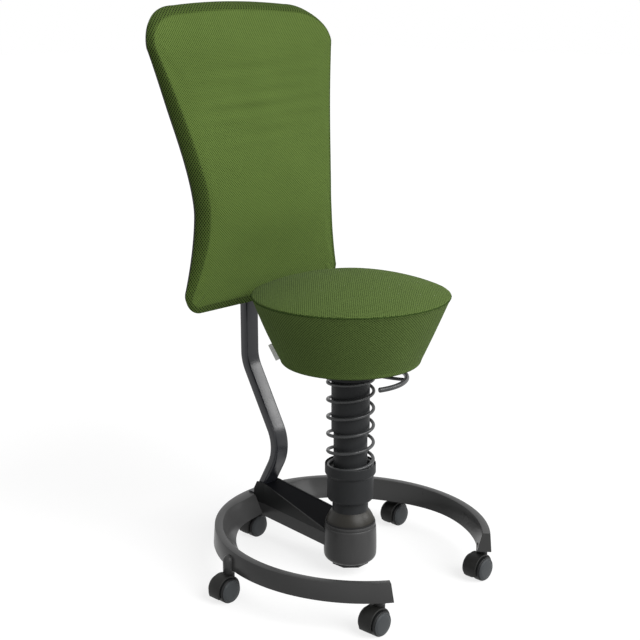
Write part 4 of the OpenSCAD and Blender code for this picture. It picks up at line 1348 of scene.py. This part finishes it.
    def flat_map(self, rows: np.ndarray, faces: list[np.ndarray], seam: int) -> list[np.ndarray]:
        """Flat cloth map in metres: the top and underside from above, the side unrolled.

        Args:
            rows: Points of the cushion, measured from the column.
            faces: Its blocks of faces.
            seam: Number of the row at the seam.

        Returns:
            A block of corner places for each block of faces.
        """
        columns = rows.shape[1]
        places = np.concatenate([rows.reshape(-1, 3), rows[[0, -1]].mean(axis=1)])
        step = np.linalg.norm(np.diff(rows[:, 0], axis=0), axis=1)
        along = np.concatenate([[0.0], np.cumsum(step)])
        quads = faces[0]
        row, column = quads // columns, quads % columns
        at_end = column.max(axis=1, keepdims=True) == columns - 1
        wrapped = np.where((column == 0) & at_end, columns, column)
        unrolled = coords(wrapped * TURN / columns * self.unrolled_radius, along[row])
        on_side = (row.min(axis=1) >= self.under_rows - 1) & (row.max(axis=1) <= seam)
        blocks = [np.where(on_side[:, None, None], unrolled, places[quads][..., :2])]
        return blocks + [places[block][..., :2] for block in faces[1:]]

    def build(self, fabric: bpy.types.Material, cord: bpy.types.Material, tape: bpy.types.Material) -> None:
        """Builds the cover and swells it, then adds the seam's cord and the tag.

        Args:
            fabric: What the cover is dressed with.
            cord: What the cord is dressed with.
            tape: What the tag is dressed with.
        """
        profile, seam = self.profile()
        rows = self.rows(profile)
        points, faces = skin(self.column.place(rows))
        cushion = make_piece("seat_cover", points, faces, self.flat_map(rows, faces, seam))
        settle(cushion, "seat", "seat_fabric", fabric, "seat_cushion")
        FoamSwell().run(cushion, self.free(len(profile), seam), self.swell)
        self.seam_cord(cord)
        self.tag(tape)

    def seam_cord(self, material: bpy.types.Material) -> None:
        """Thin round cord laid in the seam, waved a little as sewn cords are.

        Args:
            material: What it is dressed with.
        """
        turn = np.arange(self.steps) * TURN / self.steps
        radius = self.radius - self.cord_inset + waves(turn, self.cord_waves)
        height = self.rim_z + waves(turn, self.cord_rise)
        line = coords(radius * np.cos(turn), radius * np.sin(turn), height)
        out = coords(np.cos(turn), np.sin(turn), 0.0)
        up = np.tile(Z_AXIS, (len(turn), 1))
        rows = self.column.place(sweep(line, out, up, circle(self.cord_steps, self.cord_radius)))
        quads = grid_quads(self.steps + 1, self.cord_steps, True) % (self.steps * self.cord_steps)
        cord = make_piece("seat_seam_cord", rows.reshape(-1, 3), [quads])
        settle(cord, "seat", "edge_fabric", material, "seat_piping")

    def tag(self, material: bpy.types.Material) -> None:
        """Small blank tape folded in two, sewn into the side and curled at its free corner.

        It is two sheets along the side's slope with a rim between them, which stays open for the
        last 3 mm of the free corner.

        Args:
            material: What it is dressed with.
        """
        low_z = self.bottom_z + self.edge - self.tag_drop
        high_z = low_z + self.tag_slant * self.tag_length
        low_r, high_r = self.side_radius(np.array([low_z, high_z]))
        slope = unit(np.array([high_r - low_r, high_z - low_z]))
        outward = np.array([slope[1], -slope[0]])
        u, v = np.meshgrid(*(np.linspace(0, 1, count) for count in self.tag_grid), indexing="ij")
        along, across = u[..., None] * self.tag_length * slope, v[..., None] * self.tag_width * outward
        plane = np.array([low_r + self.tag_lap, low_z]) + along + across
        curl = self.tag_curl * v**2 * np.sin(self.tag_curl_turn * u) - self.tag_shift
        angle = np.radians(self.tag_angle)
        out, side = coords([np.cos(angle), -np.sin(angle)], [np.sin(angle), np.cos(angle)], 0.0)
        middle = plane[..., :1] * out + curl[..., None] * side + plane[..., 1:] * Z_AXIS
        half = side * self.tag_thick / 2
        points = self.column.place(np.stack([middle - half, middle + half]).reshape(-1, 3))
        number = np.arange(u.size).reshape(u.shape)
        border = np.concatenate([number[0], number[1:-1, -1], number[-1, -3::-1], number[-2:0:-1, 0]])
        following = np.roll(border, -1)
        rim = coords(border, following, following + u.size, border + u.size)
        front = grid_quads(*u.shape, False)
        tag = make_piece("seat_tag_tape", points, [front, front[:, ::-1] + u.size, rim[:, ::-1]])
        settle(tag, "seat", "tag_fabric", material, "seat_tag")


# Backrest


@dataclass
class Backrest:
    """Waisted backrest: an upholstered pad on a thin moulded shell.

    The pad is made of closed loops that follow its outline: over the flat rear, round the edge,
    along the band and over the face, down to a narrow strip that closes the face in the middle.
    The face's folds are given in radians to a metre: 152, 236 and 55 are 41, 27 and 114 mm apart.
    """

    column: Column
    bottom: float = 0.545
    top: float = 1.157
    waist: float = 0.1913
    waist_z: float = 0.750
    top_half: float = 0.2605
    bottom_half: float = 0.236
    upper_power: float = 1.45
    lower_power: float = 1.7
    top_corner: float = 0.066
    corner_long: float = 1.5
    bottom_corner: float = 0.042
    arch: float = 0.019
    lumbar_y: float = 0.2157
    lumbar_z: float = 0.740
    lumbar_soft: float = 0.091
    recline: float = 0.255
    lower_sweep: float = 0.22
    top_curl: float = 0.026
    curl_z: float = 1.070
    thickness: float = 0.0375
    top_thickness: float = 0.024
    shoulder_z: float = 0.920
    thin_z: float = 1.120
    shell: float = 0.006
    shell_gap: float = 0.0006
    shell_inset: float = 0.004
    shell_round: float = 0.003
    shell_middle: tuple[float, float] = (0.75, 0.92)
    shell_shares: tuple[float, ...] = (0.03, 0.35, 0.7, 1.0)
    shell_loops: int = 11
    shell_point_gap: float = 0.008
    band_heights: tuple[float, ...] = (0.545, 0.60, 0.68, 0.80, 0.95, 1.10)
    band_steps: tuple[float, ...] = (0.0110, 0.0150, 0.0190, 0.0195, 0.0140, 0.0085)
    band_end: float = 0.93
    band_soft: float = 0.5
    band_hold: float = 1.15
    top_step: float = 0.0165
    low_step: float = 0.015
    middle_share: float = 0.42
    tuck: float = 0.006
    rear_shares: tuple[float, ...] = (0.03, 0.4, 0.8, 1.0)
    round_loops: int = 5
    wall_loops: int = 10
    face_loops: int = 33
    face_middle: float = 0.02
    wall: float = 0.80
    wall_power: float = 0.8
    roll: float = 0.0012
    roll_fade: float = 0.0022
    face_insets: tuple[float, ...] = (0.0012, 0.0026, 0.0045, 0.007, 0.011, 0.016)
    crown: float = 0.003
    crown_inset: float = 0.012
    crown_ease: float = 0.05
    fold_z: float = 0.965
    fold_reach: float = 0.085
    fold: float = 0.0012
    wide_fold: float = 0.0005
    swell: float = 0.0015
    point_gap: float = 0.005

    def half_width(self, z: np.ndarray) -> np.ndarray:
        """Half width: the waist plus a 1.45th power of the height above it, or a 1.7th below.

        Args:
            z: Heights.

        Returns:
            Half width at each height.
        """
        up = np.clip(z - self.waist_z, 0, None) / (self.top - self.top_corner - self.waist_z)
        down = np.clip(self.waist_z - z, 0, None) / (self.waist_z - self.bottom)
        upper = (self.top_half - self.waist) * up**self.upper_power
        return self.waist + upper + (self.bottom_half - self.waist) * down**self.lower_power

    def front(self, z: np.ndarray) -> np.ndarray:
        """Front face: a hyperbola about the lumbar height, and a parabola that rolls the top back.

        Args:
            z: Heights.

        Returns:
            Its y at each height.
        """
        slope = np.where(z > self.lumbar_z, self.recline, self.lower_sweep)
        bend = np.hypot(z - self.lumbar_z, self.lumbar_soft) - self.lumbar_soft
        curl = np.clip(z - self.curl_z, 0, None) / (self.top - self.curl_z)
        return self.lumbar_y + slope * bend + self.top_curl * curl**2

    def rear(self, z: np.ndarray) -> np.ndarray:
        """Rear of the shell: upright below the lumbar height, and nearer to the face towards the top.

        Args:
            z: Heights.

        Returns:
            Its y at each height.
        """
        share = smooth_step((z - self.shoulder_z) / (self.thin_z - self.shoulder_z))
        upper = self.front(z) + self.thickness - (self.thickness - self.top_thickness) * share
        return np.where(z > self.lumbar_z, upper, self.lumbar_y + self.thickness)

    def depth(self, spot: np.ndarray) -> np.ndarray:
        """Distance from the face back to the pad's rear at (x, z) pairs."""
        return self.rear(spot[:, 1]) - self.shell - self.shell_gap - self.front(spot[:, 1])

    def outline(self, gap: float) -> np.ndarray:
        """Closed outline as (x, z) pairs, from the middle of the lower edge round by +X.

        Lower edge, quarter circle, waisted side, quarter ellipse and arched top, evenly spaced.

        Args:
            gap: Distance between points.

        Returns:
            An even number of pairs; the second half mirrors the first.
        """
        low_z = self.bottom + self.bottom_corner
        high_z = self.top - self.arch - self.top_corner
        corner = self.top_corner * self.corner_long
        low_x = self.half_width(np.array(low_z)) - self.bottom_corner
        high_x = self.half_width(np.array(high_z)) - corner
        peak = self.top - self.arch * (high_x / self.top_half) ** 2
        lower = np.linspace(-TURN / 4, 0, 40)
        upper = np.linspace(0, TURN / 4, 60)
        height = np.linspace(low_z, high_z, 200)[1:-1]
        across = high_x * np.linspace(1, 0, 60)[1:]
        parts = [
            coords(np.linspace(0, low_x, 30)[:-1], self.bottom),
            coords(low_x + self.bottom_corner * np.cos(lower), low_z + self.bottom_corner * np.sin(lower)),
            coords(self.half_width(height), height),
            coords(high_x + corner * np.cos(upper), high_z + (peak - high_z) * np.sin(upper)),
            coords(across, self.top - self.arch * (across / self.top_half) ** 2),
        ]
        half = np.concatenate(parts)
        walked = np.concatenate([[0.0], np.cumsum(np.hypot(*np.diff(half, axis=0).T))])
        steps = np.linspace(0, walked[-1], int(walked[-1] / gap) + 1)
        half = coords(np.interp(steps, walked, half[:, 0]), np.interp(steps, walked, half[:, 1]))
        return np.concatenate([half, half[-2:0:-1] * np.array([-1.0, 1.0])])

    @staticmethod
    def outward(outline: np.ndarray, neighbours: int = 10, spread: float = 4.5) -> np.ndarray:
        """Outward unit normals, smoothed by a bell curve over their neighbours.

        Args:
            outline: Closed outline as pairs.
            neighbours: How many neighbours count on each side.
            spread: How wide the bell curve is, in points.

        Returns:
            Normal at each of its points.
        """
        way = np.roll(outline, -1, axis=0) - np.roll(outline, 1, axis=0)
        reach = np.arange(-neighbours, neighbours + 1)
        share = np.exp(-((reach / spread) ** 2))
        way = sum(weight * np.roll(way, step, axis=0) for weight, step in zip(share, reach))
        return unit(coords(way[:, 1], -way[:, 0]))

    @staticmethod
    def moved_in(outline: np.ndarray, normal: np.ndarray, inset: np.ndarray | float) -> np.ndarray:
        """Outline moved in along its normals, by one inset or by one for each point."""
        return outline - normal * np.reshape(inset, (-1, 1))

    def folds(self, x: np.ndarray, z: np.ndarray) -> np.ndarray:
        """Shallow level folds across the upper face, where the cloth is drawn over the recline.

        Products of sines and cosines of height and width, under a bell curve about fold_z.

        Args:
            x: Places across the face.
            z: Heights.

        Returns:
            How far the face stands out.
        """
        upper = np.exp(-(((z - self.fold_z) / self.fold_reach) ** 2)) * (1 - 0.3 * np.abs(x) / self.waist)
        narrow = np.sin(z * 152 + 5 * x) * np.cos(11 * x + 0.5) + 0.6 * np.sin(z * 236 - 9 * x + 1.0)
        return self.fold * narrow * upper + self.wide_fold * np.sin(z * 55 + 5 * x) * np.cos(x * 9)

    def loops(self) -> tuple[np.ndarray, np.ndarray, np.ndarray]:
        """Loops of the pad from the middle of its rear round the edge to the middle of its face.

        Returns:
            Points (loops x points x 3), the edge band's share and the flat cloth place.
        """
        outline = self.outline(self.point_gap)
        normal = self.outward(outline)
        side = np.interp(outline[:, 1], self.band_heights, self.band_steps)
        ends = np.where(normal[:, 1] > 0, self.top_step, self.low_step)
        step = np.hypot(side * normal[:, 0], ends * normal[:, 1] ** 2)
        middle_z, reach = (self.bottom + self.top) / 2, (self.top - self.bottom) / 2
        height = np.sin((outline[:, 1] - middle_z) / reach * TURN / 4)
        heart = coords(0.0, middle_z + reach * self.middle_share * height)
        rear_edge = self.moved_in(outline, normal, self.tuck)
        face_edge = self.moved_in(outline, normal, step + self.face_insets[-1])
        rows = []
        for share in self.rear_shares:
            spot = heart + (rear_edge - heart) * share
            rows.append((spot, self.depth(spot), 1.0))
        for angle in np.linspace(0, TURN / 4, self.round_loops + 1)[1:]:
            spot = self.moved_in(outline, normal, self.tuck * (1 - np.sin(angle)))
            rows.append((spot, self.depth(spot) * (self.wall + (1 - self.wall) * np.cos(angle)), 1.0))
        for share in np.linspace(0, 1, self.wall_loops + 1)[1:]:
            angle = share * TURN / 4
            spot = self.moved_in(outline, normal, step * (1 - np.cos(angle)) ** self.wall_power)
            back = self.depth(spot) * self.wall * (1 - np.sin(angle)) + self.roll
            rows.append((spot, back, 1.0 if share < self.band_end else self.band_soft))
        for inset in self.face_insets:
            spot = self.moved_in(outline, normal, step + inset)
            rows.append((spot, np.full(len(outline), self.roll * np.exp(-inset / self.roll_fade)), 0.0))
        for share in np.linspace(1, self.face_middle, self.face_loops + 1)[1:]:
            rows.append((heart + (face_edge - heart) * share, np.zeros(len(outline)), 0.0))
        flat, back, band = (np.stack(part) for part in zip(*rows))
        x, z = flat[..., 0], flat[..., 1]
        wide = np.clip(np.abs(x) / (self.half_width(z) - self.crown_inset), 0, 1)
        low_end = smooth_step((z - self.bottom - self.low_step) / self.crown_ease)
        high_end = smooth_step((self.top - self.top_step - z) / self.crown_ease)
        crown = self.crown * (1 - wide**2) + self.folds(x, z) * (1 - wide**6)
        on_face = band[:, None] <= self.band_soft
        y = self.front(z) + back - np.where(on_face, crown * low_end * high_end, 0)
        points = coords(x, y, z)
        return points, np.broadcast_to(band[:, None], x.shape), self.cloth(points)

    def cloth(self, points: np.ndarray) -> np.ndarray:
        """Flat cloth place: x on the face, with the wall's depth added past its edge, by height walked.

        Args:
            points: Points of the pad.

        Returns:
            Pairs in metres.
        """
        height = np.linspace(self.bottom - 0.02, self.top + 0.02, 400)
        rise = np.concatenate([[0.0], np.cumsum(np.hypot(np.diff(height), np.diff(self.front(height))))])
        behind = points[..., 1] - self.front(points[..., 2])
        across = points[..., 0] + np.sign(points[..., 0]) * np.clip(behind, 0, None)
        return coords(across, np.interp(points[..., 2], height, rise))

    @staticmethod
    def closed_loops(points: np.ndarray) -> Skin:
        """Faces between the loops, and a strip across the middle of the first and the last one.

        Args:
            points: Points as loops x points x 3.

        Returns:
            Points and blocks of faces.
        """
        count, around = points.shape[:2]
        half = around // 2
        right = np.arange(half)
        left = (around - right) % around
        inner = coords(right, right + 1, left - 1, left)[1:-1]
        last = (count - 1) * around
        ends = np.array([[0, 1, around - 1], [half - 1, half, half + 1]])
        blocks = [grid_quads(count, around, True), inner[:, ::-1], inner + last, ends[:, ::-1], ends + last]
        return points.reshape(-1, 3), blocks

    def build_pad(self, fabric: bpy.types.Material) -> None:
        """Builds the upholstered pad with its cloth map and its edge band, and swells it.

        Args:
            fabric: What it is dressed with.
        """
        loops, band, flat = self.loops()
        points, faces = self.closed_loops(self.column.place(loops))
        places = flat.reshape(-1, 2)
        pad = make_piece("backrest_cover", points, faces, [places[block] for block in faces])
        attribute = pad.data.attributes.new("edge_band", "FLOAT", "POINT")
        attribute.data.foreach_set("value", band.reshape(-1))
        settle(pad, "base", "back_fabric", fabric, "back_pad")
        free = np.clip(self.band_hold - band, 0, 1)
        free[: len(self.rear_shares) + self.round_loops] = 0
        FoamSwell().run(pad, free.reshape(-1), self.swell)

    def build_shell(self, plastic: bpy.types.Material) -> None:
        """Builds the thin shell behind the pad: front, rear edge rounded by a quarter circle, rear.

        Args:
            plastic: What it is dressed with.
        """
        outline = self.outline(self.shell_point_gap)
        normal = self.outward(outline)
        heart = coords(0.0, np.clip(outline[:, 1], *self.shell_middle))
        front_edge = self.moved_in(outline, normal, self.shell_inset)
        rear_edge = self.moved_in(outline, normal, self.shell_inset + self.shell_round)
        rows = []
        for share in self.shell_shares:
            spot = heart + (front_edge - heart) * share
            rows.append((spot, -self.shell))
        for angle in np.linspace(0, TURN / 4, self.round_loops + 1):
            spot = self.moved_in(outline, normal, self.shell_inset + self.shell_round * (1 - np.cos(angle)))
            rows.append((spot, -self.shell_round * (1 - np.sin(angle))))
        for share in np.linspace(1, self.shell_shares[0], self.shell_loops + 1)[1:]:
            rows.append((heart + (rear_edge - heart) * share, 0.0))
        loops = [coords(spot[:, 0], self.rear(spot[:, 1]) + step, spot[:, 1]) for spot, step in rows]
        skins = self.closed_loops(self.column.place(np.stack(loops)))
        shell = make_piece("backrest_shell", *skins, sharp=0.7)
        settle(shell, "base", "knob_plastic", plastic, "back_shell")


# Castors


class WheelSide(Enum):
    """Which of a castor's two wheels."""

    LEFT = "left"
    RIGHT = "right"

    def box(self, number: int) -> tuple[np.ndarray, np.ndarray]:
        """Lowest and highest corner of this side's wheel on a castor."""
        low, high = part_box(f"wheel_{number}_{self.value}")
        return np.array(low), np.array(high)


@dataclass
class CastorHood:
    """Moulded hood over both wheels: a drum open at the bottom, on a web with axle bore and stem."""

    inner: float = 0.026
    outer: float = 0.0295
    half_width: float = 0.0146
    soft: float = 0.0012
    front: float = -6.0
    rear: float = 203.0
    web_half: float = 0.0045
    web_radius: float = 0.023
    web_lap: float = 0.002
    drum_lap: float = 0.001
    bore: float = 0.0031
    trail: float = 0.014
    stem_core: float = 0.001
    stem_radius: float = 0.0055
    stem_bottom: float = 0.046
    stem_top: float = 0.0645

    def sector(self, profile: np.ndarray, middle: np.ndarray) -> Skin:
        """Closed skin of (radius, place) pairs carried round the axle from front to rear.

        Args:
            profile: The pairs, round a closed outline.
            middle: Middle of the axle.

        Returns:
            Points and blocks of faces.
        """
        turn = np.radians(np.linspace(self.front, self.rear, 64))
        out = coords(np.cos(turn), 0.0, np.sin(turn))
        return skin(sweep(np.tile(middle, (len(turn), 1)), out, np.tile(Y_AXIS, (len(turn), 1)), profile))

    def build(self, number: int, material: bpy.types.Material) -> None:
        """Builds drum, web and stem round a castor's own wheels.

        Args:
            number: Number of the castor.
            material: What it is dressed with.
        """
        low, high = WheelSide.LEFT.box(number)
        middle = (low + high) / 2
        middle[1] = (high[1] + WheelSide.RIGHT.box(number)[0][1]) / 2
        arc = np.linspace(0, TURN / 4, 5)
        radius = self.outer - self.soft * (1 - np.cos(arc))
        corner = coords(radius, self.half_width - self.soft * (1 - np.sin(arc)))
        upper = np.concatenate([corner, [[self.inner, self.half_width]]])
        drum = np.concatenate([upper, upper[::-1] * np.array([1.0, -1.0])])
        half = self.web_half
        rib = band_profile(self.web_radius - self.web_lap, self.inner + self.drum_lap, -half, half)
        disc = band_profile(self.bore, self.web_radius, -half, half)
        stem = band_profile(self.stem_core, self.stem_radius, self.stem_bottom, self.stem_top)
        foot = np.array([middle[0] + self.trail, middle[1], 0.0])
        points, faces = joined(
            self.sector(drum, middle),
            self.sector(rib, middle),
            turned_ring(disc, middle, Y_AXIS, 56),
            skin(revolve(stem, foot, Z_AXIS, 32)),
        )
        hood = make_piece(f"castor_cover_{number}", points, faces, sharp=0.6)
        settle(hood, f"castor_{number}", "castor_plastic", material, f"castor_hood_{number}")


@dataclass
class WheelFace:
    """Closed disc on the outer face of a castor wheel: a soft rim, a fine groove and a low dome.

    Each pair in rim_steps is how far inside the disc's radius a corner lies, and how far it
    stands out from the wheel. Each pair in dome is a radius and how far it stands out.
    """

    radius: float = 0.0229
    rim_steps: tuple[tuple[float, float], ...] = (
        (0.0004, -0.0012),
        (0.0, -0.0002),
        (0.0002, 0.0004),
        (0.0008, 0.0008),
        (0.0022, 0.0011),
        (0.0027, 0.0005),
        (0.0033, 0.0011),
    )
    dome: tuple[tuple[float, float], ...] = ((0.0150, 0.0016), (0.0080, 0.0019), (0.0010, 0.0019))
    core: tuple[float, float] = (0.0010, -0.0012)

    def build(self, number: int, side: WheelSide, material: bpy.types.Material) -> None:
        """Turns the disc's profile about the wheel's own axle.

        Args:
            number: Number of the castor.
            side: Which of its wheels.
            material: What it is dressed with.
        """
        low, high = side.box(number)
        middle = (low + high) / 2
        middle[1] = high[1] if side is WheelSide.LEFT else low[1]
        along = Y_AXIS if side is WheelSide.LEFT else -Y_AXIS
        rim = np.array(self.rim_steps) * np.array([-1.0, 1.0]) + np.array([self.radius, 0.0])
        profile = np.concatenate([[self.core], rim, self.dome])
        disc = skin(revolve(profile, middle, along, 56))
        piece = make_piece(f"wheel_face_{number}_{side.value}", *disc, sharp=0.9)
        settle(piece, f"wheel_{number}_{side.value}", "wheel_plastic", material)


# Stage


@dataclass
class Studio:
    """Pale floor, soft light and the photograph's camera. Angles are in degrees."""

    column: Column
    camera_place: tuple[float, float, float] = (-1.85833, -1.66514, 1.17464)
    yaw: float = -46.72
    pitch: float = 14.28
    roll: float = -0.14
    lens: float = 72.476
    sensor: float = 36.0
    clip: tuple[float, float] = (0.05, 60.0)
    key_from: tuple[float, float, float] = (0.048, -0.780, 0.620)
    key_strength: float = 3.0
    key_softness: float = 46.0
    side_from: tuple[float, float, float] = (0.705, -0.563, 0.434)
    side_strength: float = 0.85
    side_softness: float = 20.0
    sky_strength: float = 0.33
    floor_half: float = 20.0
    floor_glow: float = 0.68
    floor_white: float = 1.11
    floor_bounce: float = 0.46
    floor_shown: float = 0.92

    @staticmethod
    def aim(thing: bpy.types.Object, *axes: np.ndarray) -> None:
        """Turns and places a lamp or camera.

        Args:
            thing: The lamp or camera, which looks along -Z of its own axes.
            *axes: Its right, its up, its back and its place, the columns of its matrix.
        """
        matrix = np.eye(4)
        matrix[:3] = np.stack(axes, axis=-1)
        thing.matrix_world = Matrix(matrix.tolist())

    def camera(self) -> None:
        """Camera at the photograph's place, turned by yaw, pitch and roll."""
        yaw, pitch, roll = np.radians([self.yaw, self.pitch, self.roll])
        look = np.array([-np.sin(yaw) * np.cos(pitch), np.cos(yaw) * np.cos(pitch), -np.sin(pitch)])
        right = np.array([np.cos(yaw), np.sin(yaw), 0.0])
        turned = right * np.cos(roll) + np.cross(right, look) * np.sin(roll)
        data = bpy.data.cameras.new("photograph_camera")
        data.sensor_width, data.lens = self.sensor, self.lens
        data.clip_start, data.clip_end = self.clip
        camera = put_object("photograph_camera", data)
        spot = self.column.place(np.array(self.camera_place))
        self.aim(camera, turned, np.cross(turned, look), -look, spot)
        bpy.context.scene.camera = camera

    def lamp(
        self, name: str, place: tuple[float, ...], strength: float, softness: float, shadow: bool = True
    ) -> None:
        """Adds a soft sun that shines from a place towards the stool.

        Args:
            name: Name of the lamp.
            place: Direction in which it stands.
            strength: Its strength.
            softness: Its width in degrees.
            shadow: Whether it casts a shadow.
        """
        data = bpy.data.lights.new(name, "SUN")
        data.energy, data.angle, data.use_shadow = strength, np.radians(softness), shadow
        back = unit(np.array(place))
        right = unit(np.cross(Z_AXIS, back))
        self.aim(put_object(name, data), right, np.cross(back, right), back, np.zeros(3))

    @staticmethod
    def shown(tree: bpy.types.NodeTree) -> bpy.types.NodeSocket:
        """Adds the test for rays that show the white surroundings: seen straight, mirrored or through.

        Args:
            tree: Tree of the floor's material or the world.

        Returns:
            Socket that is 1 for such rays and 0 for others.
        """
        rays = add_node(tree, "ShaderNodeLightPath").outputs
        share = rays["Is Camera Ray"]
        for kind in ("Is Glossy Ray", "Is Transmission Ray"):
            either = {0: share, 1: rays[kind]}
            share = add_node(tree, "ShaderNodeMath", either, operation="MAXIMUM").outputs[0]
        return share

    def world(self) -> None:
        """White to the camera and in reflections, softer grey as light on the stool."""
        world = bpy.data.worlds.new("studio")
        bpy.context.scene.world = world
        world.use_nodes = True
        tree = world.node_tree
        tree.nodes.clear()
        soft, white = (
            add_node(tree, "ShaderNodeBackground", {"Color": (1, 1, 1, 1), "Strength": strength}).outputs[0]
            for strength in (self.sky_strength, 1.0)
        )
        mixed = add_node(tree, "ShaderNodeMixShader", {0: self.shown(tree), 1: soft, 2: white})
        add_node(tree, "ShaderNodeOutputWorld", {"Surface": mixed.outputs[0]})

    def floor(self) -> None:
        """Wide white floor that keeps only a faint shadow of the stool."""
        mesh = bpy.data.meshes.new("floor")
        corners = np.array([[-1, -1, 0], [1, -1, 0], [1, 1, 0], [-1, 1, 0]]) * self.floor_half
        mesh.from_pydata(corners.tolist(), [], [[0, 1, 2, 3]])
        material, tree = new_material("matt_white_floor")
        steps = {"Value": self.shown(tree), "To Min": self.floor_bounce, "To Max": self.floor_shown}
        grey = add_node(tree, "ShaderNodeMapRange", steps)
        matt = add_node(tree, "ShaderNodeBsdfDiffuse", {"Color": grey.outputs["Result"]}).outputs[0]
        white = {"Color": (1, 1, 1, 1), "Strength": self.floor_white}
        glow = add_node(tree, "ShaderNodeEmission", white).outputs[0]
        seen = {0: self.shown(tree), 1: self.floor_glow}
        share = add_node(tree, "ShaderNodeMath", seen, operation="MULTIPLY").outputs[0]
        mixed = add_node(tree, "ShaderNodeMixShader", {0: share, 1: matt, 2: glow})
        add_node(tree, "ShaderNodeOutputMaterial", {"Surface": mixed.outputs[0]})
        mesh.materials.append(material)
        put_object("floor", mesh)

    def build(self) -> None:
        """Builds camera, lamps, world and floor."""
        self.camera()
        self.lamp("key_lamp", self.key_from, self.key_strength, self.key_softness)
        self.lamp("side_lamp", self.side_from, self.side_strength, self.side_softness, shadow=False)
        self.world()
        self.floor()
        bpy.context.scene.view_settings.view_transform = "Standard"


def dress_frame(frame: dict) -> dict[str, bpy.types.Material]:
    """Gives every CAD node the finish of its slot in the record.


    Returns:
        Material of each slot.
    """
    made = {slot: finish.build() for slot, finish in FINISHES.items()}
    tubes = ("lower_tube", "upper_tube", "neck_tube", "spring_cup", "spring_plate", "seat_hub")
    own = dict.fromkeys(tubes, TUBE_SATIN.build()) | {"back_bracket": BRACKET_PAINT.build()}
    for row in frame["record"]["subparts"]:
        finish = own.get(row["node"]) or made.get(row["material_slot"])
        if finish:
            materials = frame["nodes"][row["node"]].data.materials
            materials.clear()
            materials.append(finish)
    return made


def main() -> None:
    """Builds the stool's pieces round the frame, then the studio."""
    logging.basicConfig(level=logging.INFO, format="%(message)s")
    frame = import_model()
    column = Column.from_frame()
    made = dress_frame(frame)
    ring = BaseRing(column)
    ring.build(made["frame_paint"])
    BackrestBar(column).build(made["bar_paint"])
    FootCup(column).build(made["frame_paint"], made["core_rubber"])
    ReleaseLever(column).build(made["spring_steel"])
    CoilSpring(column).build(made["spring_steel"])
    SeatCushion(column).build(SEAT_KNIT.build(), SEAM_KNIT.build(), TAG_TAPE.build())
    backrest = Backrest(column)
    backrest.build_pad(BACK_KNIT.build())
    backrest.build_shell(made["knob_plastic"])
    face = WHEEL_FACE.build()
    for number in range(1, 6):
        ring.collar(number, made["castor_plastic"])
        CastorHood().build(number, made["castor_plastic"])
        for side in WheelSide:
            WheelFace().build(number, side, face)
    Studio(column).build()


if __name__ == "__main__":
    main()
